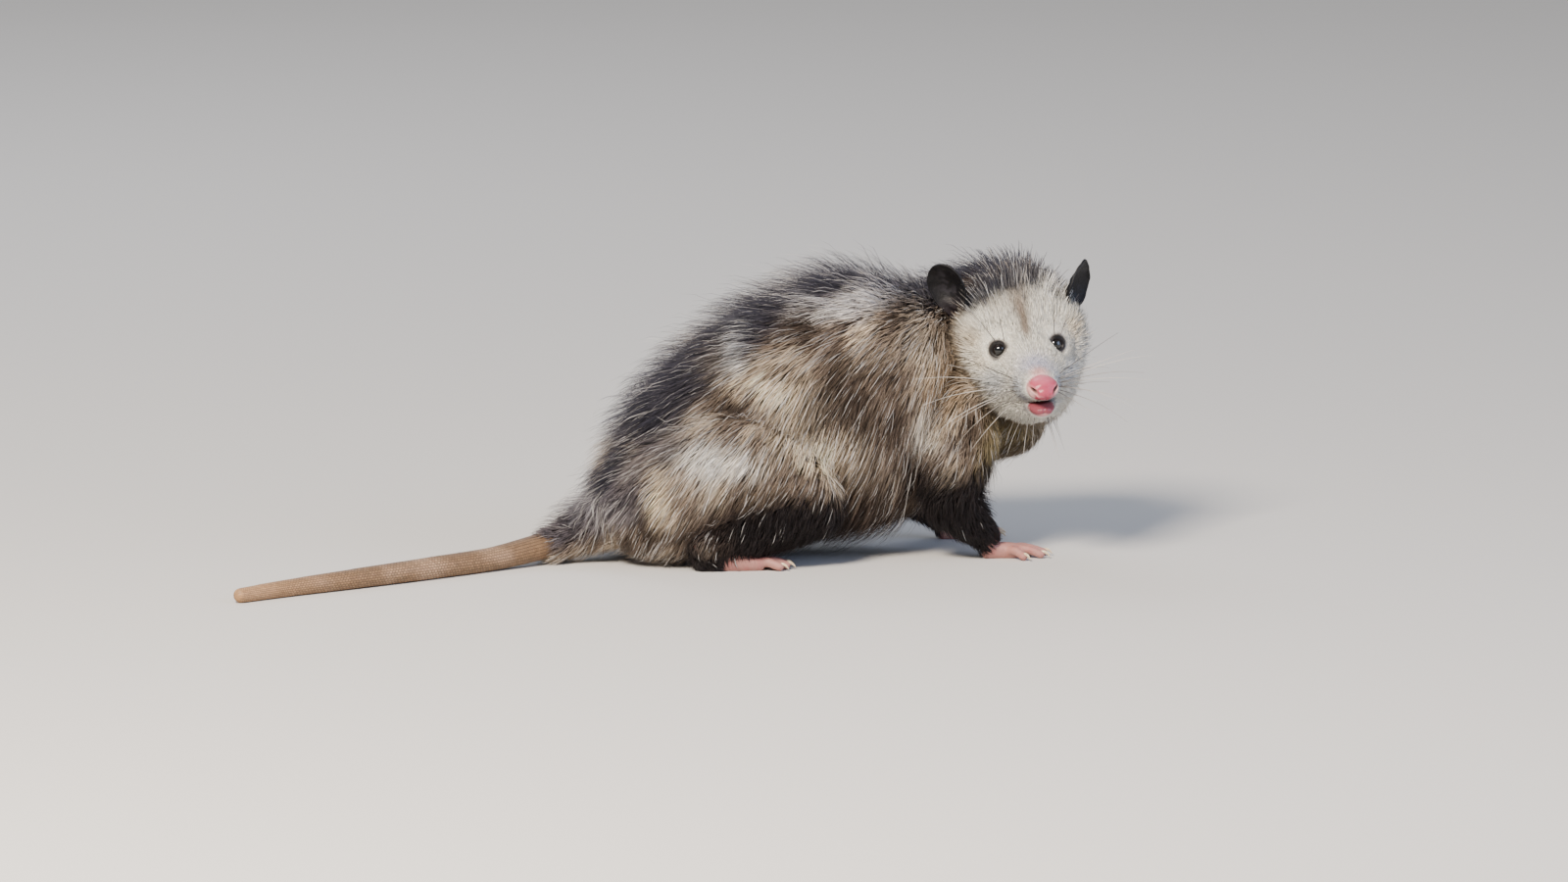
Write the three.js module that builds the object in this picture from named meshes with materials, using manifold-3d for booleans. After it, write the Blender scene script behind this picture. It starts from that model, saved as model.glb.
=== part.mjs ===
// A Virginia opossum as a life-size museum model: it stands low on all four feet, looks to its right,
// and lays its naked tail on the ground behind it. Millimetres.
// +X is the way the body points, +Y is its left side, +Z is up, and the ground is Z = 0.
import * as THREE from "three";
import { mergeVertices } from "three/addons/utils/BufferGeometryUtils.js";
import Module from "manifold-3d";

const wasm = await Module();
wasm.setup();

// The driving sizes
const GAP = 0.3; // between two named pieces that touch
const CORE = 0.5; // how far the dense underfur fills the coat's depth, from skin to tips
const TIPS = 1; // where the longest hair of the coat ends
const LOCK_LENGTH = 74; // a lock of the long coat, from its root to its tip
const LOCK_WIDTH = 30;
const LOCK_THICKNESS = 4.6;
const LOCK_SPACING = 37; // between the middles of two locks side by side
const LOCK_ROWS = 45; // from one ring of locks to the next
const EYE_SPACING = 46; // between the middles of the eyes
const EYE_RADIUS = 6.8;
const EAR_HEIGHT = 46;
const EAR_WIDTH = 40;
const CLAW_LENGTH = 8.5;
const HEM_CLEARANCE = 1.5; // the hanging coat stays this far above the ground
const GROUND_REACH = 2000; // the side of a block large enough to cut any piece

const FUR_GREY = { color: 0x8d867c, roughness: 0.9 };
const FUR_DARK = { color: 0x2b2624, roughness: 0.9 };
const FUR_FACE = { color: 0xd9d3c6, roughness: 0.9 };
const SKIN_PAW = { color: 0xe6b3a6, roughness: 0.6 };
const SKIN_NOSE = { color: 0xe08a8c, roughness: 0.4 };
const SKIN_EAR = { color: 0x1d1b20, roughness: 0.6 };
const SKIN_TAIL = { color: 0x9c7c5c, roughness: 0.7 };
const CLAW_HORN = { color: 0xe3cfa6, roughness: 0.4 };
const EYE_BLACK = { color: 0x08080a, roughness: 0.1 };
const WHISKER_HAIR = { color: 0xe8e4da, roughness: 0.6 };

const radians = THREE.MathUtils.degToRad;
const SIDES = { right: -1, left: 1 };

// Joining and cutting
const SAME_PLACE = 1e-3; // corners nearer than this are one corner

function solidOf(geometry) {
  const bare = geometry.clone();
  bare.deleteAttribute("normal");
  bare.deleteAttribute("uv");
  const merged = mergeVertices(bare, SAME_PLACE);
  const mesh = new wasm.Mesh({
    numProp: 3,
    vertProperties: merged.attributes.position.array,
    triVerts: new Uint32Array(merged.index.array),
  });
  return new wasm.Manifold(mesh);
}

function geometryOf(solid) {
  const mesh = solid.getMesh();
  const geometry = new THREE.BufferGeometry();
  geometry.setAttribute("position", new THREE.BufferAttribute(mesh.vertProperties, mesh.numProp));
  geometry.setIndex(new THREE.BufferAttribute(mesh.triVerts, 1));
  return geometry;
}

const joined = (solids) => wasm.Manifold.union(solids);

// The largest closed surface, without loose scraps and sealed hollows.
function largest(solid) {
  const bodies = solid.decompose();
  return bodies.reduce((best, body) => (body.volume() > best.volume() ? body : best));
}

function moved(solid, matrix) {
  return solidOf(geometryOf(solid).applyMatrix4(matrix));
}

// Everything below a height, which flattens what rests on the ground
function below(height) {
  const block = new THREE.BoxGeometry(GROUND_REACH, GROUND_REACH, GROUND_REACH);
  return solidOf(block.translate(0, 0, height - GROUND_REACH / 2));
}
const ground = below(0);

// A closed skin over rings of points that run from one end to the other, with a point at each end
function skinned(rings, first, last) {
  const count = rings[0].length;
  const points = [...rings.flat(), first, last];
  const faces = [];
  for (let i = 0; i + 1 < rings.length; i += 1) {
    for (let j = 0; j < count; j += 1) {
      const next = (j + 1) % count;
      const corner = i * count;
      faces.push(corner + j, corner + next, corner + count + next);
      faces.push(corner + j, corner + count + next, corner + count + j);
    }
  }
  const end = (rings.length - 1) * count;
  for (let j = 0; j < count; j += 1) {
    const next = (j + 1) % count;
    faces.push(points.length - 2, next, j);
    faces.push(points.length - 1, end + j, end + next);
  }
  return new THREE.BufferGeometry().setFromPoints(points).setIndex(faces);
}

// A station of a limb: where it is, its half width, its reach above and below its line, and the fur
const station = (x, y, z, wide, above, below, fur = 0) => ({ x, y, z, wide, above, below, fur });

const PACE_STEP = 0.01; // the share of a line over which its pace is measured
const LINE_SAMPLES = 40; // in a search for the nearest place of a line
const NEAR = 12; // a place further ahead or behind than this doesn't belong to that place of the line
const DOME_INSET = 0.3; // a limb's rounded end: how much its smaller ring draws in, as a share,
const DOME_SHOULDER = 0.5; // how far out that ring is, as a share of the limb's radius,
const DOME_TIP = 0.75; // and how far out its tip is

// A part of the body: elliptic rings along a smooth line through a few stations. level is the share of
// the coat's depth that the surface stands off the skin, and extra is added to that in millimetres.
class Limb {
  constructor(stations, up = [0, 0, 1]) {
    this.up = new THREE.Vector3(...up);
    this.path = new THREE.CatmullRomCurve3(stations.map((s) => new THREE.Vector3(s.x, s.y, s.z)));
    this.girth = new THREE.CatmullRomCurve3(
      stations.map((s) => new THREE.Vector3(s.wide, s.above, s.below)),
    );
    this.coat = new THREE.CatmullRomCurve3(stations.map((s, i) => new THREE.Vector3(i, s.fur, 0)));
    this.length = this.path.getLength();
  }

  frame(t) {
    const forward = this.path.getTangent(t);
    const side = this.up.clone().cross(forward).normalize();
    const top = forward.clone().cross(side);
    return { centre: this.path.getPoint(t), forward, side, top };
  }

  fur(t) {
    return this.coat.getPoint(t).y;
  }

  // How many millimetres of the line one whole of t would be, at the pace it has here
  pace(t) {
    const near = THREE.MathUtils.clamp(t, PACE_STEP, 1 - PACE_STEP);
    const ahead = this.path.getPoint(near + PACE_STEP);
    return ahead.distanceTo(this.path.getPoint(near - PACE_STEP)) / (2 * PACE_STEP);
  }

  // A point of the surface. Beyond its ends the limb runs straight on.
  point(t, angle, level, extra = 0) {
    const within = THREE.MathUtils.clamp(t, 0, 1);
    const { centre, forward, side, top } = this.frame(within);
    centre.addScaledVector(forward, (t - within) * this.pace(t));
    const girth = this.girth.getPoint(within);
    const grown = this.fur(within) * level + extra;
    const sine = Math.sin(angle);
    const upward = (sine > 0 ? girth.y : girth.z) + grown;
    const sideways = girth.x + grown;
    return centre
      .addScaledVector(side, Math.cos(angle) * sideways)
      .addScaledVector(top, sine * upward);
  }

  ring(t, level, sides, extra) {
    const angles = Array.from({ length: sides }, (_, j) => (2 * Math.PI * (j + 0.5)) / sides);
    return angles.map((angle) => this.point(t, angle, level, extra));
  }

  // Whether the limb, with this share of its coat, encloses a place
  holds(place, level) {
    const shares = Array.from({ length: LINE_SAMPLES + 1 }, (_, i) => i / LINE_SAMPLES);
    const apart = (t) => this.path.getPoint(t).distanceTo(place);
    const t = shares.reduce((best, share) => (apart(share) < apart(best) ? share : best));
    const { centre, forward, side, top } = this.frame(t);
    const girth = this.girth.getPoint(t);
    const grown = this.fur(t) * level;
    const offset = place.clone().sub(centre);
    const upward = offset.dot(top);
    const shareUp = upward / ((upward > 0 ? girth.y : girth.z) + grown);
    const shareOut = offset.dot(side) / (girth.x + grown);
    return Math.abs(offset.dot(forward)) < NEAR && Math.hypot(shareUp, shareOut) < 1;
  }

  // The rounded end of the limb: a smaller ring set outward, and the tip beyond it
  dome(t, level, sides, extra) {
    const { centre, forward } = this.frame(t);
    const girth = this.girth.getPoint(t);
    const reach = Math.min(girth.x, girth.y, girth.z) + this.fur(t) * level + extra;
    const outward = forward.multiplyScalar(t === 0 ? -reach : reach);
    const ring = this.ring(t, level, sides, extra).map((p) =>
      p.lerp(centre, DOME_INSET).addScaledVector(outward, DOME_SHOULDER),
    );
    return { ring, tip: centre.clone().addScaledVector(outward, DOME_TIP) };
  }

  solid(level, sides, steps, extra = 0) {
    const rings = [];
    for (let i = 0; i <= steps; i += 1) {
      rings.push(this.ring(i / steps, level, sides, extra));
    }
    const ends = [0, 1].map((t) => this.dome(t, level, sides, extra));
    return solidOf(skinned([ends[0].ring, ...rings, ends[1].ring], ends[0].tip, ends[1].tip));
  }
}

// The groups that carry the pieces
const opossum = new THREE.Group();
const head = new THREE.Group();
opossum.add(head);

function finish(name, solid, look, group = opossum) {
  const material = new THREE.MeshStandardMaterial({ ...look, metalness: 0 });
  const mesh = new THREE.Mesh(geometryOf(largest(solid)), material);
  mesh.name = name;
  group.add(mesh);
}

// The head's own frame: +X to the nose, +Y to its left, +Z up, with the origin midway between the eyes
const HEAD_PLACE = [183.5, -88, 178.2];
const HEAD_TURN = radians(-89);
const HEAD_NOD = radians(12);
const HEAD_TILT = radians(4);
head.position.set(...HEAD_PLACE);
head.rotation.set(HEAD_TILT, HEAD_NOD, HEAD_TURN, "ZYX");
opossum.updateMatrixWorld(true);

const skull = new Limb([
  station(-66, 0, -2, 26, 24, 24, 13),
  station(-48, 0, -2, 42, 37, 40, 13),
  station(-28, 0, -8, 44, 31, 37, 11),
  station(-10, 0, -14, 37, 27, 31, 8),
  station(4, 0, -21, 31, 26.5, 23, 5.5),
  station(18, 0, -24, 24.5, 24, 15.5, 4),
  station(32, 0, -22.5, 19, 19.5, 10.5, 3),
  station(44, 0, -19.5, 14.2, 14.5, 8.5, 2.5),
  station(54, 0, -17, 11.5, 9.5, 8, 1.5),
]);
const SKULL_SIDES = 16;
const SKULL_STEPS = 9;
const JAW_SIDES = 10;
const JAW_STEPS = 4;

const jaw = new Limb([
  station(-28, 0, -37, 37, 9, 15, 12),
  station(-8, 0, -38, 27, 7, 15, 9),
  station(10, 0, -39.5, 18.5, 6, 14, 6),
  station(24, 0, -38, 15.5, 5, 13, 4),
  station(40, 0, -34.5, 11.5, 4.5, 11, 3),
  station(49, 0, -32.5, 9.5, 3.5, 9.5, 1.5),
]);

// The moist lower lip, which fills the front of the slightly open mouth
const lowerLip = new Limb([
  station(46, 0, -33.5, 10.5, 4.5, 7),
  station(53, 0, -33.8, 10.2, 4.5, 6.5),
  station(58, 0, -34.5, 7.5, 3.5, 4.5),
]);

const nose = new Limb([
  station(46, 0, -15, 11, 8, 8),
  station(55, 0, -15, 13, 9.5, 10),
  station(61, 0, -16, 12, 8.5, 9),
  station(64, 0, -17, 8, 5.5, 6),
]);

const NOSE_SIDES = 10;
const NOSE_STEPS = 3;

const EYE_FACETS = [10, 8];
const LID_THICKNESS = 1.7;
const LID_LOOK_OUT = radians(14); // the way the eye looks, outward from straight ahead
const LID_LOOK_UP = radians(8);
const LID_OPENING = [10, 6.3, 5.7]; // half sizes of the opening: deep, wide and high

function eyeBall(side, radius) {
  const ball = new THREE.SphereGeometry(radius, ...EYE_FACETS);
  return solidOf(ball.translate(0, (side * EYE_SPACING) / 2, 0));
}

// The opening between the lids: an ellipsoid set out from the eye along the way it looks
function lidOpening(side) {
  const opening = new THREE.SphereGeometry(1, 10, 6).scale(...LID_OPENING);
  opening.translate(LID_OPENING[0], 0, 0);
  opening.rotateY(-LID_LOOK_UP);
  opening.rotateZ(side * LID_LOOK_OUT);
  return solidOf(opening.translate(0, (side * EYE_SPACING) / 2, 0));
}

// A nostril: a short slanting pit that opens forward and outward
const NOSTRIL_PLACE = [63, 8, -14]; // in the head's frame, for the left nostril
const NOSTRIL_SIZE = [4.5, 1.8, 2.3];
const NOSTRIL_TURN = radians(38);

function nostril(side) {
  const pit = new THREE.SphereGeometry(1, 6, 4).scale(...NOSTRIL_SIZE).rotateZ(side * NOSTRIL_TURN);
  return solidOf(pit.translate(NOSTRIL_PLACE[0], side * NOSTRIL_PLACE[1], NOSTRIL_PLACE[2]));
}

// The whiskers of one cheek spring from a low pad on the side of the muzzle. Each has its height on the
// pad, how far it reaches out, forward and up, and how much its far half droops.
const PAD_PLACE = [36, 16, -20]; // in the head's frame, for the left pad
const PAD_SIZE = [11, 6.5, 7.5];
const PAD_TURN = radians(24);
const WHISKER_RADII = [0.75, 0.675, 0.525, 0.3]; // from its root to its tip
const WHISKER_SIDES = 3;
const WHISKER_STEPS = 2;
const WHISKERS = [
  { root: 4.5, out: 62, ahead: 10, up: 28, droop: 2 },
  { root: 2.5, out: 86, ahead: 4, up: 22, droop: 8 },
  { root: 0, out: 90, ahead: 6, up: 4, droop: 9 },
  { root: -2.5, out: 66, ahead: 12, up: -12, droop: 8 },
  { root: -4.5, out: 50, ahead: 14, up: -30, droop: 6 },
];

function whiskerPad(side, grown) {
  const size = PAD_SIZE.map((half) => half + grown);
  const pad = new THREE.SphereGeometry(1, 8, 6).scale(...size).rotateZ(-side * PAD_TURN);
  return solidOf(pad.translate(PAD_PLACE[0], side * PAD_PLACE[1], PAD_PLACE[2]));
}

function whisker(side, { root, out, ahead, up, droop }) {
  const [x, y, z] = PAD_PLACE;
  const along = (share, radius) =>
    station(
      x + ahead * share,
      side * (y + out * share),
      z + root + up * share - droop * share ** 3,
      radius,
      radius,
      radius,
    );
  const stations = WHISKER_RADII.map((radius, i) => along(i / (WHISKER_RADII.length - 1), radius));
  return new Limb(stations).solid(0, WHISKER_SIDES, WHISKER_STEPS);
}

function buildHead() {
  const skullSolid = (extra = 0) => skull.solid(TIPS, SKULL_SIDES, SKULL_STEPS, extra);
  const jawSolid = (extra = 0) => jaw.solid(TIPS, JAW_SIDES, JAW_STEPS, extra);
  const noseRoom = nose.solid(0, NOSE_SIDES, NOSE_STEPS, GAP);
  const lipRoom = lowerLip.solid(0, NOSE_SIDES, NOSE_STEPS, GAP);
  const mouthRoom = joined([noseRoom, lipRoom]);
  const lids = Object.values(SIDES).map((side) => eyeBall(side, EYE_RADIUS + LID_THICKNESS));
  let face = joined([skullSolid(), ...lids]);
  let noseSolid = nose.solid(0, NOSE_SIDES, NOSE_STEPS);
  for (const side of Object.values(SIDES)) {
    face = face.subtract(eyeBall(side, EYE_RADIUS + GAP)).subtract(lidOpening(side));
    face = face.subtract(whiskerPad(side, GAP));
    noseSolid = noseSolid.subtract(nostril(side));
  }
  finish("head", face.subtract(jawSolid(GAP)).subtract(mouthRoom), FUR_FACE, head);
  finish("jaw", jawSolid().subtract(mouthRoom), FUR_FACE, head);
  finish("lower_lip", lowerLip.solid(0, NOSE_SIDES, NOSE_STEPS).subtract(noseRoom), SKIN_NOSE, head);
  finish("nose", noseSolid, SKIN_NOSE, head);
  for (const [name, side] of Object.entries(SIDES)) {
    finish(`eye_${name}`, eyeBall(side, EYE_RADIUS), EYE_BLACK, head);
    const whiskers = joined(WHISKERS.map((row) => whisker(side, row)));
    const pad = whiskerPad(side, 0).add(whiskers.subtract(skullSolid(GAP)));
    finish(`whisker_pad_${name}`, pad.subtract(joined([mouthRoom, jawSolid(GAP)])), WHISKER_HAIR, head);
  }
}

// An ear: a thin cupped leaf, round at the top, its foot set on the fur of the head. The right one is
// carried a little higher. Their feet are in the head's frame.
const EARS = {
  right: { foot: [-46, -50, 15], faceOut: radians(44) },
  left: { foot: [-46, 50, 4.5], faceOut: radians(50) },
};
const EAR_THICKNESS = 1.4;
const EAR_CUP = 11; // how deep the leaf is hollowed
const EAR_CURL = [0.35, 0.9]; // the share of it that the rim curls at the top, and the more at the foot
const EAR_SET_BACK = 1.25; // how far its middle lies behind the rim's line, as a share of the depth
const EAR_NARROWER = 0.28; // how much narrower it is at its foot
const EAR_LEAN_OUT = radians(10);
const EAR_LEAN_AHEAD = radians(20);
const EAR_SECTORS = 12;
const EAR_RINGS = 3;

function earLeaf(name, grown) {
  const side = SIDES[name];
  const { foot, faceOut } = EARS[name];
  const angles = Array.from({ length: EAR_SECTORS }, (_, j) => (2 * Math.PI * j) / EAR_SECTORS);
  const leaf = (share, angle, lift) => {
    const across = share * Math.cos(angle) * (EAR_WIDTH / 2 + grown);
    const upward = share * Math.sin(angle) * (EAR_HEIGHT / 2 + grown);
    const low = (1 - (2 * upward) / EAR_HEIGHT) / 2; // 0 at the ear's top and 1 at its foot
    const cup = EAR_CUP * (share * share * (EAR_CURL[0] + EAR_CURL[1] * low) - EAR_SET_BACK);
    return new THREE.Vector3(cup + lift, across * (1 - EAR_NARROWER * low), upward + EAR_HEIGHT / 2);
  };
  const half = EAR_THICKNESS / 2 + grown;
  const shares = Array.from({ length: EAR_RINGS }, (_, i) => (i + 1) / EAR_RINGS);
  const face = (lift) => shares.map((share) => angles.map((angle) => leaf(share, angle, lift)));
  const rings = [...face(-half), ...face(half).reverse()];
  const geometry = skinned(rings, leaf(0, 0, -half), leaf(0, 0, half));
  geometry.rotateY(EAR_LEAN_AHEAD);
  geometry.rotateX(-side * EAR_LEAN_OUT);
  geometry.rotateZ(side * faceOut);
  return solidOf(geometry.translate(...foot));
}

function buildEar(name) {
  const room = skull.solid(TIPS, SKULL_SIDES, SKULL_STEPS, GAP);
  finish(`ear_${name}`, earLeaf(name, 0).subtract(room), SKIN_EAR, head);
}

// A foot in its own frame: +X to the toes, +Y to its left, the sole on the ground, the wrist or heel
// over the origin. A toe has its bearing in degrees, its length and how far ahead it starts.
const FORE = {
  palm: [
    station(-5, 0, 8.5, 7, 6.5, 9.5),
    station(7, 0, 7.5, 8.5, 5.5, 9.5),
    station(18, 0, 6.8, 11, 4.8, 9),
    station(24, 0, 6, 9.5, 3.6, 8),
  ],
  toes: [
    { bearing: -58, length: 17, start: 12, claw: "i" },
    { bearing: -25, length: 22, start: 18, claw: "ii" },
    { bearing: -2, length: 23, start: 20, claw: "iii" },
    { bearing: 22, length: 22, start: 18, claw: "iv" },
    { bearing: 54, length: 17, start: 12, claw: "v" },
  ],
  toeRadius: 3.7,
};
const HIND = {
  palm: [
    station(-14, 0, 9, 7.5, 7, 10),
    station(4, 0, 8.5, 8.5, 6.5, 10.2),
    station(24, 0, 7.5, 10.5, 5.5, 9.6),
    station(36, 0, 6.4, 10, 4, 8.4),
  ],
  toes: [
    { bearing: -22, length: 22, start: 30, claw: "v" },
    { bearing: -7, length: 24, start: 33, claw: "iv" },
    { bearing: 8, length: 24, start: 33, claw: "iii" },
    { bearing: 23, length: 22, start: 30, claw: "ii" },
    { bearing: 78, length: 20, start: 20 },
  ],
  toeRadius: 4,
};
const TOE_SPREAD = 0.75; // how far out the outer toes start, as a share of the palm's half width
// A toe arches up over its knuckle and comes down on its pad: the share of its length, the height of its
// line above the toe's radius, and its girth
const TOE_ARCH = [
  { share: -0.25, rise: 1.5, girth: 1 },
  { share: 0.35, rise: 3.6, girth: 1 },
  { share: 1, rise: -0.5, girth: 0.92 },
];
// A claw hooks down from the toe's end, just clear of the ground: how far beyond the toe as a share of the
// claw's reach, the height of its line above the toe's radius, and its own radius
const CLAW_REACH = CLAW_LENGTH * 0.8;
const CLAW_HOOK = [
  { beyond: -0.147, rise: 1.6, radius: 1.6 },
  { beyond: 0.45, rise: 1.4, radius: 1.25 },
  { beyond: 1, rise: -1.8, radius: 0.45 },
];
const CLAW_NARROWER = 0.8;
const PALM_SIDES = 8;
const PALM_STEPS = 2;
const TOE_SIDES = 5;
const TOE_STEPS = 2;
const CLAW_SIDES = 4;
const CLAW_STEPS = 2;

// A place on a toe's line, by how far it is from the toe's start
function onToe(kind, toe, side, distance, z, radius, narrow = 1) {
  const angle = radians(toe.bearing * -side);
  const spread = kind.palm[2].wide * TOE_SPREAD * Math.sin(angle);
  const x = toe.start + distance * Math.cos(angle);
  const y = spread + distance * Math.sin(angle);
  return station(x, y, z, radius * narrow, radius, radius);
}

function toeSolid(kind, toe, side, extra = 0) {
  const r = kind.toeRadius;
  const line = TOE_ARCH.map(({ share, rise, girth }) =>
    onToe(kind, toe, side, share * toe.length, r + rise, r * girth),
  );
  return new Limb(line).solid(0, TOE_SIDES, TOE_STEPS, extra);
}

function clawSolid(kind, toe, side, extra = 0) {
  const line = CLAW_HOOK.map(({ beyond, rise, radius }) =>
    onToe(kind, toe, side, toe.length + beyond * CLAW_REACH, kind.toeRadius + rise, radius, CLAW_NARROWER),
  );
  return new Limb(line).solid(0, CLAW_SIDES, CLAW_STEPS, extra);
}

// Builds a foot and returns the room that the leg above has to leave for it
function buildFoot(name, kind, side, place, bearing) {
  const group = new THREE.Group();
  group.position.set(...place);
  group.rotation.z = radians(bearing);
  opossum.add(group);
  opossum.updateMatrixWorld(true);
  const palm = new Limb(kind.palm);
  const flesh = (extra) =>
    joined([
      palm.solid(0, PALM_SIDES, PALM_STEPS, extra),
      ...kind.toes.map((toe) => toeSolid(kind, toe, side, extra)),
    ]);
  let foot = flesh(0).subtract(ground);
  for (const toe of kind.toes.filter((toe) => toe.claw)) {
    foot = foot.subtract(clawSolid(kind, toe, side, GAP));
    finish(`claw_${name}_${toe.claw}`, clawSolid(kind, toe, side), CLAW_HORN, group);
  }
  finish(name, foot, SKIN_PAW, group);
  return moved(flesh(GAP), group.matrixWorld);
}

const LEFT_FORE_SHIFT = -14; // the left forefoot stands this far behind the right one
const LEFT_HIND_SHIFT = -26; // and the left hind foot this far behind the right one
const LEFT_LEG_INWARD = 8; // the left legs stand this much nearer the middle
const WRIST = { x: 162, y: 57, inward: 10 };
const HEEL = { x: -71, y: 73, inward: 8 };
// The bearing of each foot in degrees from straight ahead
const BEARING = { hand_right: 2, foot_right: -4, hand_left: 6, foot_left: 4 };

const footAt = (name, kind, side, [x, y]) => buildFoot(name, kind, side, [x, y, 0], BEARING[name]);
const feetRoom = joined([
  footAt("hand_right", FORE, SIDES.right, [WRIST.x, -WRIST.y]),
  footAt("foot_right", HIND, SIDES.right, [HEEL.x, -HEEL.y]),
  footAt("hand_left", FORE, SIDES.left, [WRIST.x + LEFT_FORE_SHIFT, WRIST.y - WRIST.inward]),
  footAt("foot_left", HIND, SIDES.left, [HEEL.x + LEFT_HIND_SHIFT, HEEL.y - HEEL.inward]),
]);

// Trunk and neck: one line from the root of the tail over the arched back to the nape, which turns
// to the animal's right
const trunk = new Limb([
  station(-182, -4, 22, 11, 10, 9, 7),
  station(-148, -2, 35, 27, 16, 18, 14),
  station(-108, 0, 64, 47, 34, 42, 18),
  station(-66, 0, 97, 62, 54, 64, 22),
  station(-12, 0, 120, 71, 72, 84, 22),
  station(42, 0, 131, 75, 86, 95, 22),
  station(90, 4, 135, 65, 80, 90, 22),
  station(126, 13, 142, 51, 70, 78, 19),
  station(158, 15, 157, 45, 62, 88, 17),
  station(182, 0, 172, 41, 58, 80, 14),
  station(190, -32, 178, 38, 50, 64, 15),
]);
const NECK_START = 0.745; // as a share of the trunk's line

// The legs of one side, from inside the body down to the wrist and the heel. Where a foot stands further
// back than the other side's, its leg follows it more and more towards the foot.
function legLimbs(side, foreShift, hindShift, inward) {
  const y = (out) => side * (out - inward);
  return {
    forearm: new Limb(
      [
        station(125 + foreShift, y(61), 50, 13, 15, 15, 13),
        station(143 + foreShift, y(60), 31, 11, 12, 12, 9),
        station(157 + foreShift, y(58), 16, 8.5, 9, 8, 5),
      ],
      [1, 0, 0],
    ),
    upper_arm: new Limb(
      [
        station(136 + foreShift * 0.2, y(36), 132, 24, 28, 30, 12),
        station(133 + foreShift * 0.4, y(50), 100, 22, 26, 28, 15),
        station(128 + foreShift * 0.7, y(59), 68, 17, 22, 20, 16),
        station(126 + foreShift, y(61), 48, 13, 15, 15, 14),
      ],
      [1, 0, 0],
    ),
    shank: new Limb([
      station(14 + hindShift, y(74), 50, 14, 18, 18, 13),
      station(-36 + hindShift, y(75), 35, 13, 16, 16, 12),
      station(-84 + hindShift, y(74), 19, 9, 9, 9, 6),
    ]),
    thigh: new Limb([
      station(-136, y(30), 48, 22, 16, 34, 13),
      station(-102 + hindShift * 0.1, y(46), 62, 28, 34, 46, 17),
      station(-58 + hindShift * 0.4, y(58), 68, 28, 50, 44, 20),
      station(-16 + hindShift * 0.8, y(68), 62, 22, 38, 30, 18),
      station(14 + hindShift, y(74), 53, 14, 20, 20, 13),
    ]),
  };
}

// The furred pieces of the body, in the order in which they keep their place: each is cut to clear
// those before it
const legs = {
  right: legLimbs(SIDES.right, 0, 0, 0),
  left: legLimbs(SIDES.left, LEFT_FORE_SHIFT, LEFT_HIND_SHIFT, LEFT_LEG_INWARD),
};
// The long locks of a piece: flow is 1 where the hair runs on along the limb and -1 where it runs back,
// drop is how much it falls toward the ground as it goes, and the locks are rooted between from and to.
// size is their length and the step between their rows, and breadth their width and spacing, both as
// shares of the back's.
const furred = [];
Object.entries(legs).forEach(([side, limbs], seed) => {
  furred.push({ name: `forearm_${side}`, limb: limbs.forearm, sides: 9, steps: 3, look: FUR_DARK });
  furred.push({
    name: `upper_arm_${side}`,
    limb: limbs.upper_arm,
    sides: 9,
    steps: 4,
    look: FUR_DARK,
    locks: { flow: 1, drop: 0, size: 0.62, breadth: 0.9, from: 0.2, to: 0.8, seed: 11 + seed },
  });
  furred.push({ name: `shank_${side}`, limb: limbs.shank, sides: 9, steps: 3, look: FUR_DARK });
  furred.push({
    name: `thigh_${side}`,
    limb: limbs.thigh,
    sides: 10,
    steps: 5,
    look: FUR_GREY,
    locks: { flow: -1, drop: 0.45, size: 0.9, breadth: 0.95, from: 0.1, to: 1.05, seed: 31 + seed },
  });
});

// The space behind or ahead of a plane across a limb, clear of the plane by half the gap
function spaceAt(limb, t, ahead, clear = GAP / 2) {
  const { centre, forward, side, top } = limb.frame(t);
  const block = new THREE.BoxGeometry(GROUND_REACH, GROUND_REACH, GROUND_REACH);
  block.translate((ahead ? 1 : -1) * (GROUND_REACH / 2 + clear), 0, 0);
  const place = new THREE.Matrix4().makeBasis(forward, side, top).setPosition(centre);
  return solidOf(block.applyMatrix4(place));
}
const TRUNK_SIDES = 14;
const TRUNK_STEPS = 12;
const ALONG_THE_BACK = { flow: -1, drop: 0.4, size: 1, breadth: 1 };
furred.push({
  name: "neck",
  limb: trunk,
  sides: TRUNK_SIDES,
  steps: TRUNK_STEPS,
  look: FUR_GREY,
  space: spaceAt(trunk, NECK_START, true),
  locks: { ...ALONG_THE_BACK, from: NECK_START, to: 1, seed: 42 },
});
furred.push({
  name: "torso",
  limb: trunk,
  sides: TRUNK_SIDES,
  steps: TRUNK_STEPS,
  look: FUR_GREY,
  space: spaceAt(trunk, NECK_START, false),
  locks: { ...ALONG_THE_BACK, from: 0.04, to: NECK_START, seed: 52 },
});

// The tail, naked and scaly, from the fur of the rump to its blunt tip
const tail = new Limb([
  station(-178, -4, 19, 12, 11, 11),
  station(-205, -14, 15, 11.5, 11, 11),
  station(-250, -36, 10, 10, 9.7, 10.3),
  station(-310, -68, 9, 9.6, 9.2, 9.4),
  station(-375, -100, 8.2, 8.6, 8.4, 8.6),
  station(-440, -130, 7, 7.4, 7.2, 7.4),
  station(-482, -152, 6.2, 6.2, 6.2, 6.5),
]);
const TAIL_LENGTHS = 4;
const TAIL_SIDES = 8;
const TAIL_STEPS = 18;

// The tail in a few lengths, each ending square to the line
function buildTail() {
  const whole = tail.solid(0, TAIL_SIDES, TAIL_STEPS).subtract(ground);
  for (let i = 0; i < TAIL_LENGTHS; i += 1) {
    let length = whole;
    if (i > 0) length = length.intersect(spaceAt(tail, i / TAIL_LENGTHS, true));
    if (i < TAIL_LENGTHS - 1) length = length.intersect(spaceAt(tail, (i + 1) / TAIL_LENGTHS, false));
    finish(`tail_${i + 1}`, length, SKIN_TAIL);
  }
}

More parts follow.
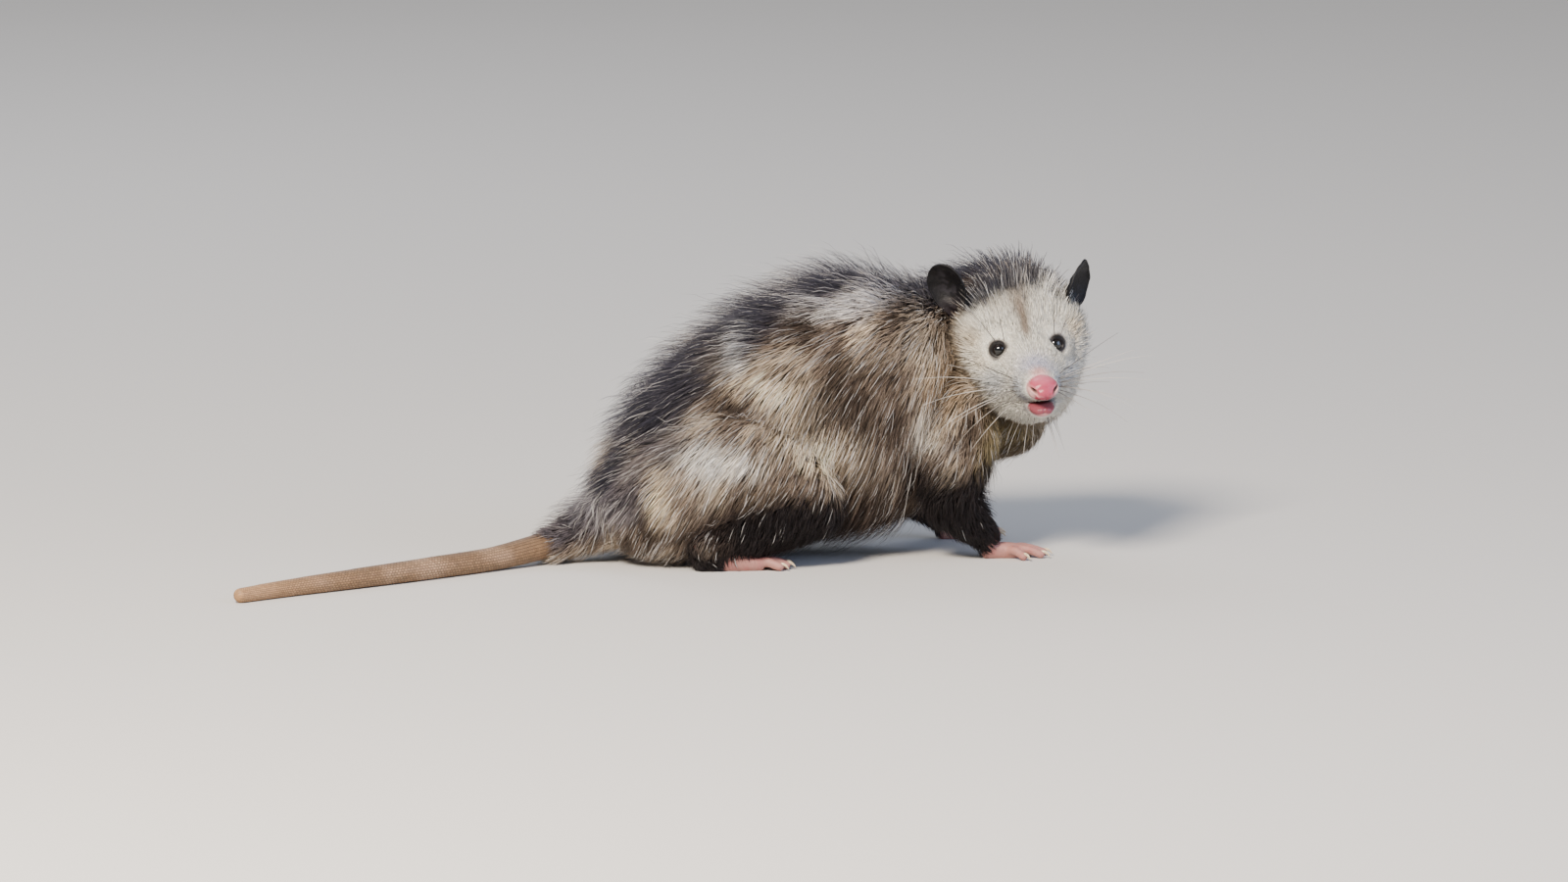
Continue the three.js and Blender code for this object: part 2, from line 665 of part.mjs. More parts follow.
// What stands free of the coat: the head, the ears, the feet and the tail
function bareRoom() {
  const headSolids = [
    skull.solid(TIPS, SKULL_SIDES, SKULL_STEPS, GAP),
    jaw.solid(TIPS, JAW_SIDES, JAW_STEPS, GAP),
  ];
  for (const name of Object.keys(SIDES)) headSolids.push(earLeaf(name, GAP));
  const tailRoom = tail.solid(0, TAIL_SIDES, TAIL_STEPS, GAP);
  return joined([moved(joined(headSolids), head.matrixWorld), feetRoom, tailRoom]);
}

// A seeded row of even draws from 0 to 1, so that the coat is always the same
function dice(seed) {
  let state = seed;
  return () => {
    state = (Math.imul(state, 1664525) + 1013904223) >>> 0;
    return state / 2 ** 32;
  };
}

const LOCK_ROOT = 0.34; // the share of the coat's depth at which a lock starts, sunk in the underfur
const LOCK_END = 0.92; // and at which its tip ends
const LOCK_HEEL = -0.12; // its pointed root ends this far behind its start, as a share of its length
const LOCK_SHOULDER = 0.75; // its width at the start, as a share of its width halfway
const LOCK_SLOPE_STEP = 0.05; // the share of a lock over which its slope is measured
// The room that another lock leaves round one: at each side, above and below, and past its tip as a share
const ROOM_ASIDE = 1.8;
const ROOM_ABOVE = 1;
const ROOM_AHEAD = 0.015;

// One lock: a flat, tapered tongue of hair. Its root is sunk in the underfur at (t, angle) on the limb.
// From there it lies the way the hair flows, falls a little toward the ground and rises to the tips.
// room is 1 for the space that it needs and 0 for the lock itself.
function lockOf(limb, t, angle, { flow, drop, turn, length, width, room }) {
  const radius = (at) => {
    const within = THREE.MathUtils.clamp(at, 0, 1);
    return limb.girth.getPoint(within).x + limb.fur(within);
  };
  const around = radius(t);
  const along = (share) => t + (flow * Math.cos(turn) * share * length) / limb.pace(t);
  const place = (share, level) => {
    const aside = (Math.sin(turn) - Math.cos(angle) * drop) * share * length;
    return limb.point(along(share), angle + aside / around, level);
  };
  const level = (share) => LOCK_ROOT + (LOCK_END - LOCK_ROOT) * share;
  const line = (share) => place(share, level(share));
  const ring = (share, breadth) => {
    const centre = line(share);
    const ahead = line(share + LOCK_SLOPE_STEP).sub(line(share - LOCK_SLOPE_STEP)).normalize();
    const outward = centre.clone().sub(place(share, 0)).normalize();
    const across = outward.clone().cross(ahead).normalize();
    const lift = ahead.clone().cross(across);
    const narrowed = Math.min(1, radius(along(share)) / around);
    const bare = (width * breadth * narrowed) / 2;
    const bend = bare ** 2 / (2 * around);
    const half = bare + room * ROOM_ASIDE;
    const thick = LOCK_THICKNESS / 2 + room * ROOM_ABOVE;
    const at = (sideways, up) => centre.clone().addScaledVector(across, sideways).addScaledVector(lift, up);
    return [at(half, -bend), at(0, thick), at(-half, -bend), at(0, -thick)];
  };
  const rings = [ring(0, LOCK_SHOULDER), ring(0.5, 1)];
  return solidOf(skinned(rings, place(LOCK_HEEL, 0), line(1 + room * ROOM_AHEAD)));
}

const LOWEST_ROOT = 20; // no lock is rooted nearer the ground than this
const COVERED = 0.8; // the share of an earlier piece's coat that hides a root, as a later one's core does
const BELLY = -0.75; // below this sine of the angle no lock is rooted, as the hair is short there
const UNEVEN_ROUND = 0.3; // how unevenly locks are set round their ring, as a share of their spacing
const UNEVEN_ALONG = 0.25; // and along the limb, as a share of the step between rings
const UNEVEN_TURN = radians(10);
const UNEVEN_LENGTH = 0.18;
const UNEVEN_WIDTH = 0.15;

// Whether the root of a lock would be hidden inside the head or another piece, or too near the ground
function hidden(root, piece) {
  const order = furred.indexOf(piece);
  const covers = (other, i) =>
    other.limb !== piece.limb && other.limb.holds(root, i < order ? COVERED : CORE);
  return root.z < LOWEST_ROOT || skull.holds(head.worldToLocal(root.clone()), TIPS) || furred.some(covers);
}

// The locks of a piece in staggered rings
function locksOn(piece, room = 0) {
  const { limb, locks } = piece;
  const draw = dice(locks.seed);
  const vary = (share) => share * (2 * draw() - 1);
  const middle = (locks.from + locks.to) / 2;
  const rows = Math.round(((locks.to - locks.from) * limb.pace(middle)) / (LOCK_ROWS * locks.size));
  const solids = [];
  for (let row = 0; row < rows; row += 1) {
    const ringAt = locks.from + ((row + 0.5) / rows) * (locks.to - locks.from);
    const girth = limb.girth.getPoint(Math.min(ringAt, 1));
    const around = Math.PI * (girth.x + (girth.y + girth.z) / 2 + 2 * limb.fur(Math.min(ringAt, 1)));
    const count = Math.round(around / (LOCK_SPACING * locks.breadth));
    for (let i = 0; i < count; i += 1) {
      const angle = (2 * Math.PI * (i + (row % 2) / 2 + vary(UNEVEN_ROUND / 2))) / count;
      const t = ringAt + (vary(UNEVEN_ALONG / 2) * LOCK_ROWS) / limb.pace(ringAt);
      const shape = {
        flow: locks.flow,
        drop: locks.drop,
        turn: vary(UNEVEN_TURN),
        length: LOCK_LENGTH * locks.size * (1 + vary(UNEVEN_LENGTH)),
        width: LOCK_WIDTH * locks.breadth * (1 + vary(UNEVEN_WIDTH)),
        room,
      };
      const underneath = limb === trunk && Math.sin(angle) < BELLY;
      if (underneath || hidden(limb.point(t, angle, CORE), piece)) continue;
      solids.push(lockOf(limb, t, angle, shape));
    }
  }
  return solids;
}

// The dense underfur of a piece, or the whole of a piece that has no long locks
function underfur(piece, extra = 0) {
  return piece.limb.solid(piece.locks ? CORE : TIPS, piece.sides, piece.steps, extra);
}

const LOCK_CLEARANCE = 1.8; // the room that an earlier piece's coat keeps from a later piece's locks

function buildCoat() {
  const away = joined([bareRoom(), below(HEM_CLEARANCE)]);
  const neck = furred.find((piece) => piece.name === "neck");
  furred.forEach((piece, order) => {
    const others = (pieces) => pieces.filter((other) => other.limb !== piece.limb);
    const before = others(furred.slice(0, order));
    let solid = underfur(piece);
    for (const other of before) solid = solid.subtract(underfur(other, GAP));
    if (piece.space) solid = solid.intersect(piece.space);
    if (piece.locks) {
      let locks = joined(locksOn(piece));
      for (const { limb, sides, steps } of before) {
        locks = locks.subtract(limb.solid(TIPS, sides, steps, LOCK_CLEARANCE));
      }
      for (const other of others(furred.slice(order + 1))) locks = locks.subtract(underfur(other, GAP));
      if (piece.name === "neck") {
        locks = locks.subtract(underfur(piece, GAP).intersect(spaceAt(trunk, NECK_START, false, -GAP / 2)));
      }
      if (piece.name === "torso") {
        const overlying = joined([...locksOn(neck, 1), ...locksOn(neck)]);
        locks = locks.intersect(piece.space).subtract(overlying);
      }
      solid = solid.add(locks);
    }
    finish(piece.name, solid.subtract(away), piece.look);
  });
}

buildHead();
for (const name of Object.keys(SIDES)) buildEar(name);
buildTail();
buildCoat();

// The origin is on the ground, under the middle of the whole animal's box
const box = new THREE.Box3().setFromObject(opossum, true);
const middle = box.getCenter(new THREE.Vector3());
opossum.position.set(-middle.x, -middle.y, -box.min.z);

export default opossum;
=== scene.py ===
import math

import bmesh
import bpy
import numpy as np
from mathutils import Matrix, Vector
from mathutils.kdtree import KDTree


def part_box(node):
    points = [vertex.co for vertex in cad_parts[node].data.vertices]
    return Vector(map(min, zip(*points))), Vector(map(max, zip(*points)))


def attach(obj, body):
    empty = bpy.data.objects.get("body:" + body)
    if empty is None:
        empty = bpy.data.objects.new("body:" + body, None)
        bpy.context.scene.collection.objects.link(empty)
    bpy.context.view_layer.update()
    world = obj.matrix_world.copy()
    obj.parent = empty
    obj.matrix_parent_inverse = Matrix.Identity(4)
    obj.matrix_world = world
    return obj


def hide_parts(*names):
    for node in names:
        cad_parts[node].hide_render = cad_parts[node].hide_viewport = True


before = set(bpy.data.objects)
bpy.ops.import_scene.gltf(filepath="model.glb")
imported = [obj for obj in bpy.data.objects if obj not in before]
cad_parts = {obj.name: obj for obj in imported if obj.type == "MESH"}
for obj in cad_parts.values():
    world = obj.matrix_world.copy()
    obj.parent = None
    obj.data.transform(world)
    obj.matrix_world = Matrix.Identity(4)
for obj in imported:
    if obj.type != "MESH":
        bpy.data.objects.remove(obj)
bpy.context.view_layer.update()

# Floor, daylight and camera
#
# A pale matt floor, one large soft light high on the left, a weaker one on the right, a faint one behind
# and a pale surround. The camera stands 21 m off, a little above the animal, with a long lens.
MILLIMETRE = 0.001
HEAD_PLACE = np.array([183.5, -88.0, 178.2])  # midway between the eyes, in the body's own millimetres
VIEW_TURN = math.radians(-12)
VIEW_RISE = math.radians(9)
VIEW_CENTRE = np.array([0.0, 0.0, 93.0])
VIEW_WIDTH = 1.28  # metres that the picture shows across the animal
VIEW_LENS = 600.0
VIEW_SENSOR = 36.0
VIEW_DISTANCE = VIEW_WIDTH * VIEW_LENS / VIEW_SENSOR


def middle(node):
    low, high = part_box(node)
    return np.array((low + high) / 2) / MILLIMETRE


ORIGIN = (middle("eye_right") + middle("eye_left")) / 2 - HEAD_PLACE


def metres(points):
    """Points in the body's own millimetres, as places in the frame"""
    return (np.asarray(points, float) + ORIGIN) * MILLIMETRE


def linear(code):
    """An sRGB hex colour as linear red, green and blue"""
    shares = np.array([int(code[i:i + 2], 16) for i in (0, 2, 4)]) / 255
    return np.where(shares <= 0.04045, shares / 12.92, ((shares + 0.055) / 1.055) ** 2.4)


def new_material(name):
    made = bpy.data.materials.new(name)
    made.use_nodes = True
    made.node_tree.nodes.clear()
    return made


def node(tree, kind, settings=None, **links):
    """Adds a node. Settings are its own properties, and links are its inputs: a value or another socket."""
    made = tree.nodes.new(kind)
    for key, value in (settings or {}).items():
        setattr(made, key, value)
    for key, value in links.items():
        socket = made.inputs[int(key[1:])] if key[0] == "_" else made.inputs[key.replace("_", " ")]
        if isinstance(value, bpy.types.NodeSocket):
            tree.links.new(value, socket)
        else:
            socket.default_value = value
    return made


def rgba(code):
    return (*linear(code), 1.0)


back = Vector((
    math.sin(VIEW_TURN) * math.cos(VIEW_RISE),
    -math.cos(VIEW_TURN) * math.cos(VIEW_RISE),
    math.sin(VIEW_RISE),
))
camera = bpy.data.objects.new("camera", bpy.data.cameras.new("camera"))
camera.data.lens = VIEW_LENS
camera.data.sensor_width = VIEW_SENSOR
camera.data.clip_end = 60
camera.location = Vector(metres(VIEW_CENTRE)) + back * VIEW_DISTANCE
camera.rotation_euler = back.to_track_quat("Z", "Y").to_euler()
bpy.context.scene.collection.objects.link(camera)
bpy.context.scene.camera = camera

# Matt paper: it takes a soft shadow and shows no gloss
FLOOR_REACH = 30.0
floor_mesh = bpy.data.meshes.new("floor")
corners = [(-1, -1), (1, -1), (1, 1), (-1, 1)]
floor_mesh.from_pydata([(x * FLOOR_REACH, y * FLOOR_REACH, 0) for x, y in corners], [], [(0, 1, 2, 3)])
floor = bpy.data.objects.new("floor", floor_mesh)
bpy.context.scene.collection.objects.link(floor)
paper = new_material("matt_backdrop_paper")
shader = node(
    paper.node_tree, "ShaderNodeBsdfPrincipled", Base_Color=rgba("c9c8c6"), Roughness=0.9,
    Specular_IOR_Level=0.2,
)
node(paper.node_tree, "ShaderNodeOutputMaterial", Surface=shader.outputs[0])
floor_mesh.materials.append(paper)

LIT_PLACE = Vector((0.1, 0, 0.1))  # what the lights point at
SURROUND_STRENGTH = 0.46
# name, place in metres, size in metres, power in watts, colour
LIGHTS = [
    ("key_light", (-1.6, -2.4, 2.6), 1.0, 370, "fff1e0"),
    ("fill_light", (2.6, -1.8, 1.2), 2.2, 62, "c4d6ff"),
    ("rim_light", (-0.4, 2.4, 2.2), 1.6, 34, "eef3ff"),
]
for name, place, size, power, colour in LIGHTS:
    lamp = bpy.data.objects.new(name, bpy.data.lights.new(name, "AREA"))
    lamp.data.size = size
    lamp.data.energy = power
    lamp.data.color = linear(colour)
    lamp.location = place
    lamp.rotation_euler = (Vector(place) - LIT_PLACE).to_track_quat("Z", "Y").to_euler()
    bpy.context.scene.collection.objects.link(lamp)

surround = bpy.data.worlds.new("surround")
surround.use_nodes = True
surround.node_tree.nodes["Background"].inputs[0].default_value = rgba("dfe3ea")
surround.node_tree.nodes["Background"].inputs[1].default_value = SURROUND_STRENGTH
bpy.context.scene.world = surround


# Skin
#
# One hide over the whole animal, from the nose to the tip of the tail. Under the coat it is pale and
# soft. It is bare on the nose, lips, lids, hands and feet, and finely scaled on the tail.
#
# All sizes are in millimetres. The hide is wrapped round the limbs' own outlines, which are lists of rings.
EYE_SPACING = 46.0
EYE_RADIUS = 6.8
LID_THICKNESS = 1.7
HEAD_ROTATION = np.array(
    Matrix.Rotation(math.radians(-89), 3, "Z")
    @ Matrix.Rotation(math.radians(12), 3, "Y")
    @ Matrix.Rotation(math.radians(4), 3, "X")
)


def from_head(points):
    """Points of the head's frame (+X to the nose, +Y to its left, origin between the eyes) in the body's"""
    return np.asarray(points, float) @ HEAD_ROTATION.T + HEAD_PLACE


def to_head(points):
    return (np.asarray(points, float) - HEAD_PLACE) @ HEAD_ROTATION


def spline(stations, t):
    """A centripetal Catmull-Rom curve through the stations, at shares t of the way by station number"""
    stations = np.asarray(stations, float)
    count = len(stations)
    ends = np.array([2 * stations[0] - stations[1], 2 * stations[-1] - stations[-2]])
    padded = np.concatenate([ends[:1], stations, ends[1:]])
    place = np.clip(np.asarray(t, float), 0, 1) * (count - 1)
    first = np.minimum(place.astype(int), count - 2)
    w = (place - first)[:, None]
    p0, p1, p2, p3 = (padded[first + k] for k in range(4))
    d0, d1, d2 = (
        np.sqrt(np.linalg.norm(b - a, axis=1))[:, None] for a, b in ((p0, p1), (p1, p2), (p2, p3))
    )
    d1 = np.where(d1 < 1e-4, 1.0, d1)
    d0 = np.where(d0 < 1e-4, d1, d0)
    d2 = np.where(d2 < 1e-4, d1, d2)
    m1 = ((p1 - p0) / d0 - (p2 - p0) / (d0 + d1) + (p2 - p1) / d1) * d1
    m2 = ((p2 - p1) / d1 - (p3 - p1) / (d1 + d2) + (p3 - p2) / d2) * d1
    curved = (-3 * p1 + 3 * p2 - 2 * m1 - m2) * w**2 + (2 * p1 - 2 * p2 + m1 + m2) * w**3
    return p1 + m1 * w + curved


def unit(vectors):
    return vectors / np.maximum(np.linalg.norm(vectors, axis=-1, keepdims=True), 1e-9)


class Limb:
    """Elliptic rings along a smooth line

    A station is its place x, y, z, then the half width, the reach above and below, and the coat's depth.
    """

    def __init__(self, name, stations, up=(0, 0, 1), turn=np.eye(3), shift=(0, 0, 0)):
        self.name = name
        self.kind = name.split("_")[0]
        self.turn = turn
        self.shift = np.array(shift, float)
        table = np.array([list(s) + [0] * (7 - len(s)) for s in stations], float)
        self.line = table[:, :3]
        self.girth = table[:, 3:6]
        self.coat = np.stack([np.arange(len(table)), table[:, 6], 0 * table[:, 6]], 1)
        self.up = np.array(up, float)

    def place(self, points):
        return points @ self.turn.T + self.shift

    def frame(self, t):
        step = 1e-4
        ahead = unit(spline(self.line, np.minimum(t + step, 1)) - spline(self.line, np.maximum(t - step, 0)))
        side = unit(np.cross(self.up, ahead))
        return spline(self.line, t), ahead, side, np.cross(ahead, side)

    def fur(self, t):
        return spline(self.coat, t)[:, 1]

    def surface(self, t, angle, level):
        centre, _, side, top = self.frame(t)
        girth = spline(self.girth, t)
        grown = self.fur(t) * level
        upward = np.where(np.sin(angle) > 0, girth[:, 1], girth[:, 2]) + grown
        sideways = girth[:, 0] + grown
        offset = side * (np.cos(angle) * sideways)[:, None] + top * (np.sin(angle) * upward)[:, None]
        return self.place(centre + offset)

    def locate(self, points, t):
        """The shares along and the angles of points of the surface, from shares that are nearly right"""
        local = (points - self.shift) @ self.turn
        step = 0.01
        for _ in range(2):
            centre, ahead, _, _ = self.frame(t)
            pace = np.linalg.norm(spline(self.line, t + step) - spline(self.line, t - step), axis=1)
            t = np.clip(t + ((local - centre) * ahead).sum(1) * 2 * step / np.maximum(pace, 1e-6), 0, 1)
        centre, _, side, top = self.frame(t)
        girth = spline(self.girth, t)
        up = ((local - centre) * top).sum(1)
        out = ((local - centre) * side).sum(1)
        return t, np.arctan2(up / np.where(up > 0, girth[:, 1], girth[:, 2]), out / girth[:, 0])

    def tube(self, level, sides, steps):
        """The points and faces of a closed tube with rounded ends"""
        shares = np.linspace(0, 1, steps + 1)
        angles = 2 * np.pi * (np.arange(sides) + 0.5) / sides
        t, angle = (grid.ravel() for grid in np.meshgrid(shares, angles, indexing="ij"))
        rings = self.surface(t, angle, level(t)).reshape(steps + 1, sides, 3)
        ends = np.array([0.0, 1.0])
        centre, ahead, _, _ = self.frame(ends)
        centre, beyond = self.place(centre), self.place(centre + ahead)
        reach = spline(self.girth, ends).min(1) + self.fur(ends) * level(ends)
        caps, tips = [], []
        for end, way in ((0, -1), (1, 1)):
            outward = (beyond[end] - centre[end]) * way * reach[end]
            ring = rings[0 if end == 0 else -1]
            caps.append([
                centre[end] + (ring - centre[end]) * math.cos(bend) + outward * 0.8 * math.sin(bend)
                for bend in (0.45, 0.9, 1.3)
            ])
            tips.append(centre[end] + outward * 0.8)
        rings = np.concatenate([caps[0][::-1], rings, caps[1]])
        points = np.concatenate([rings.reshape(-1, 3), tips])
        faces = []
        for i in range(len(rings) - 1):
            for j in range(sides):
                k = (j + 1) % sides
                faces.append((i * sides + j, i * sides + k, (i + 1) * sides + k, (i + 1) * sides + j))
        last = (len(rings) - 1) * sides
        for j in range(sides):
            k = (j + 1) % sides
            faces.append((len(points) - 2, k, j))
            faces.append((len(points) - 1, last + j, last + k))
        return points, faces


TRUNK = [
    (-182, -4, 22, 11, 10, 9, 7), (-148, -2, 35, 27, 16, 18, 14), (-108, 0, 64, 47, 34, 42, 18),
    (-66, 0, 97, 62, 54, 64, 22), (-12, 0, 120, 71, 72, 84, 22), (42, 0, 131, 75, 86, 95, 22),
    (90, 4, 135, 65, 80, 90, 22), (126, 13, 142, 51, 70, 78, 19), (158, 15, 157, 45, 62, 88, 17),
    (182, 0, 172, 41, 58, 80, 14), (190, -32, 178, 38, 50, 64, 15),
]
SKULL = [
    (-66, 0, -2, 26, 24, 24, 13), (-48, 0, -2, 42, 37, 40, 13), (-28, 0, -8, 44, 31, 37, 11),
    (-10, 0, -14, 37, 27, 31, 8), (4, 0, -21, 31, 26.5, 23, 5.5), (18, 0, -24, 24.5, 24, 15.5, 4),
    (32, 0, -22.5, 19, 19.5, 10.5, 3), (44, 0, -19.5, 14.2, 14.5, 8.5, 2.5), (54, 0, -17, 11.5, 9.5, 8, 1.5),
]
JAW = [
    (-28, 0, -37, 37, 9, 15, 12), (-8, 0, -38, 27, 7, 15, 9), (10, 0, -39.5, 18.5, 6, 14, 6),
    (24, 0, -38, 15.5, 5, 13, 4), (40, 0, -34.5, 11.5, 4.5, 11, 3), (49, 0, -32.5, 9.5, 3.5, 9.5, 1.5),
]
LOWER_LIP = [(46, 0, -33.5, 10.5, 4.5, 7), (53, 0, -33.8, 10.2, 4.5, 6.5), (58, 0, -34.5, 7.5, 3.5, 4.5)]
NOSE = [(46, 0, -15, 11, 8, 8), (55, 0, -15, 13, 9.5, 10), (61, 0, -16, 12, 8.5, 9), (64, 0, -17, 8, 5.5, 6)]
TAIL = [
    (-178, -4, 19, 12, 11, 11), (-205, -14, 15, 11.5, 11, 11), (-250, -36, 10, 10, 9.7, 10.3),
    (-310, -68, 9, 9.6, 9.2, 9.4), (-375, -100, 8.2, 8.6, 8.4, 8.6), (-440, -130, 7, 7.4, 7.2, 7.4),
    (-482, -152, 6.2, 6.2, 6.2, 6.5),
]
LEFT_FORE_SHIFT = -14.0  # how far back the left fore and hind feet stand
LEFT_HIND_SHIFT = -26.0
LEFT_INWARD = 8.0  # how much nearer the middle the left limbs stand


def upper_arm(shift):
    return [
        (136 + 0.2 * shift, 36, 132, 24, 28, 30, 12), (133 + 0.4 * shift, 50, 100, 22, 26, 28, 15),
        (128 + 0.7 * shift, 59, 68, 17, 22, 20, 16), (126 + shift, 61, 48, 13, 15, 15, 14),
    ]


def forearm(shift):
    return [
        (125 + shift, 61, 50, 13, 15, 15, 13), (143 + shift, 60, 31, 11, 12, 12, 9),
        (157 + shift, 58, 16, 8.5, 9, 8, 5),
    ]


def thigh(shift):
    return [
        (-136, 30, 48, 22, 16, 34, 13), (-102 + 0.1 * shift, 46, 62, 28, 34, 46, 17),
        (-58 + 0.4 * shift, 58, 68, 28, 50, 44, 20), (-16 + 0.8 * shift, 68, 62, 22, 38, 30, 18),
        (14 + shift, 74, 53, 14, 20, 20, 13),
    ]


def shank(shift):
    return [
        (14 + shift, 74, 50, 14, 18, 18, 13), (-36 + shift, 75, 35, 13, 16, 16, 12),
        (-84 + shift, 74, 19, 9, 9, 9, 6),
    ]


# A foot has its palm in a frame of its own (+X to the toes), and each toe its bearing, length and start.
# The innermost digit of a hind foot is the thumb.
FORE_FOOT = {
    "palm": [
        (-5, 0, 8.5, 7, 6.5, 9.5), (7, 0, 7.5, 8.5, 5.5, 9.5), (18, 0, 6.8, 11, 4.8, 9),
        (24, 0, 6, 9.5, 3.6, 8),
    ],
    "toes": [(-58, 17, 12), (-25, 22, 18), (-2, 23, 20), (22, 22, 18), (54, 17, 12)],
    "radius": 3.7,
}
HIND_FOOT = {
    "palm": [
        (-14, 0, 9, 7.5, 7, 10), (4, 0, 8.5, 8.5, 6.5, 10.2), (24, 0, 7.5, 10.5, 5.5, 9.6),
        (36, 0, 6.4, 10, 4, 8.4),
    ],
    "toes": [(-22, 22, 30), (-7, 24, 33), (8, 24, 33), (23, 22, 30), (78, 20, 20)],
    "radius": 4.0,
}
# name, kind, place of the ankle or wrist on the ground, bearing, side (-1 right, 1 left)
FEET = [
    ("hand_right", FORE_FOOT, (162, -57, 0), 2, -1),
    ("foot_right", HIND_FOOT, (-71, -73, 0), -4, -1),
    ("hand_left", FORE_FOOT, (148, 47, 0), 6, 1),
    ("foot_left", HIND_FOOT, (-97, 65, 0), 4, 1),
]
CLAW_LENGTH = 8.5


def on_toe(kind, toe, side, share, z, radius, narrow=1.0):
    """A station of a toe: a share of its length out from the palm, at a height, with a radius"""
    bearing, length, start = toe
    angle = math.radians(-bearing * side)
    spread = kind["palm"][2][3] * 0.75 * math.sin(angle)
    out = share * length
    place = (start + out * math.cos(angle), spread + out * math.sin(angle), z)
    return (*place, radius * narrow, radius, radius)


def toe_line(kind, toe, side):
    r = kind["radius"]
    return [
        on_toe(kind, toe, side, -0.25, r + 1.5, r), on_toe(kind, toe, side, 0.35, r + 3.6, r),
        on_toe(kind, toe, side, 1.0, r - 0.5, r * 0.92),
    ]


def mirrored(stations, side, inward):
    return [(s[0], side * (s[1] - inward), *s[2:]) for s in stations]


limbs = [Limb("trunk", TRUNK), Limb("tail", TAIL)]
for name, stations in (("skull", SKULL), ("jaw", JAW), ("lip", LOWER_LIP), ("nose", NOSE)):
    limbs.append(Limb(name, stations, turn=HEAD_ROTATION, shift=HEAD_PLACE))
for label, side, inward, fore, hind in (
    ("right", -1, 0.0, 0.0, 0.0), ("left", 1, LEFT_INWARD, LEFT_FORE_SHIFT, LEFT_HIND_SHIFT),
):
    limbs += [
        Limb(f"upper_arm_{label}", mirrored(upper_arm(fore), side, inward), up=(1, 0, 0)),
        Limb(f"forearm_{label}", mirrored(forearm(fore), side, inward), up=(1, 0, 0)),
        Limb(f"thigh_{label}", mirrored(thigh(hind), side, inward)),
        Limb(f"shank_{label}", mirrored(shank(hind), side, inward)),
    ]
for name, kind, place, bearing, side in FEET:
    turn = np.array(Matrix.Rotation(math.radians(bearing), 3, "Z"))
    limbs.append(Limb(name, kind["palm"], turn=turn, shift=place))
    limbs += [Limb(f"{name}_toe", toe_line(kind, toe, side), turn=turn, shift=place) for toe in kind["toes"]]

# How far the hide stands off the bones' outline, as a share of the coat's depth: the face is drawn out to
# where its short hair lies, and long hair fills the rest elsewhere
HIDE_LEVEL = {"skull": (0.15, 0.5), "jaw": (0.3, 0.5), "forearm": (0.2, 0.3), "shank": (0.2, 0.3)}
FACE_STARTS, FACE_FULL = 0.2, 0.45  # shares of the way from the back of the skull to the nose
VOXEL = 1.7


def hide_level(limb):
    low, high = HIDE_LEVEL.get(limb.kind, (0.0, 0.0))
    return lambda t: np.interp(t, [FACE_STARTS, FACE_FULL], [low, high])


def new_object(name, points, faces):
    mesh = bpy.data.meshes.new(name)
    mesh.from_pydata([tuple(p) for p in points], [], faces)
    made = bpy.data.objects.new(name, mesh)
    bpy.context.scene.collection.objects.link(made)
    return made


def ball(centre, radius, segments=32, rings=20):
    shares = np.linspace(0, np.pi, rings + 1)[1:-1]
    angles = np.linspace(0, 2 * np.pi, segments, endpoint=False)
    grid = [
        (math.sin(s) * math.cos(a), math.sin(s) * math.sin(a), math.cos(s)) for s in shares for a in angles
    ]
    points = np.array([*grid, (0, 0, 1), (0, 0, -1)]) * radius + centre
    faces = []
    for j in range(segments):
        k = (j + 1) % segments
        faces += [
            (i * segments + j, (i + 1) * segments + j, (i + 1) * segments + k, i * segments + k)
            for i in range(rings - 2)
        ]
        faces.append((len(grid), j, k))
        faces.append((len(grid) + 1, (rings - 2) * segments + k, (rings - 2) * segments + j))
    return points, faces


TUBE_SIDES, TUBE_STEPS = 40, 48
pieces = [limb.tube(hide_level(limb), TUBE_SIDES, TUBE_STEPS) for limb in limbs]
for side in (-1, 1):
    pieces.append(ball(from_head([0, side * EYE_SPACING / 2, 0]), EYE_RADIUS + LID_THICKNESS))
points, faces = [], []
for piece_points, piece_faces in pieces:
    faces += [tuple(i + len(points) for i in face) for face in piece_faces]
    points += [tuple(p) for p in piece_points]
skin = new_object("skin", metres(points), faces)
skin.data.remesh_voxel_size = VOXEL * MILLIMETRE
with bpy.context.temp_override(active_object=skin, object=skin, selected_objects=[skin]):
    bpy.ops.object.voxel_remesh()


def vertices_of(mesh):
    flat = np.empty(len(mesh.vertices) * 3, np.float32)
    mesh.vertices.foreach_get("co", flat)
    return flat.reshape(-1, 3).astype(float) / MILLIMETRE - ORIGIN


def edges_of(mesh):
    flat = np.empty(len(mesh.edges) * 2, np.int32)
    mesh.edges.foreach_get("vertices", flat)
    return flat.reshape(-1, 2)


def set_vertices(mesh, places):
    mesh.vertices.foreach_set("co", metres(places).astype(np.float32).ravel())
    mesh.update()


def spread(values, edges, strength, rounds):
    """Averages values over neighbouring vertices, a number of rounds, each vertex by its own strength"""
    values = np.array(values, float)
    flat = values.reshape(len(values), -1)
    a, b = np.concatenate([edges, edges[:, ::-1]]).T
    count = np.maximum(np.bincount(a, minlength=len(flat)), 1)[:, None]
    strength = np.broadcast_to(strength, (len(flat),))[:, None]
    for _ in range(rounds):
        mean = np.stack([np.bincount(a, flat[b, k], len(flat)) for k in range(flat.shape[1])], 1) / count
        flat = flat + strength * (mean - flat)
    return flat.reshape(values.shape)


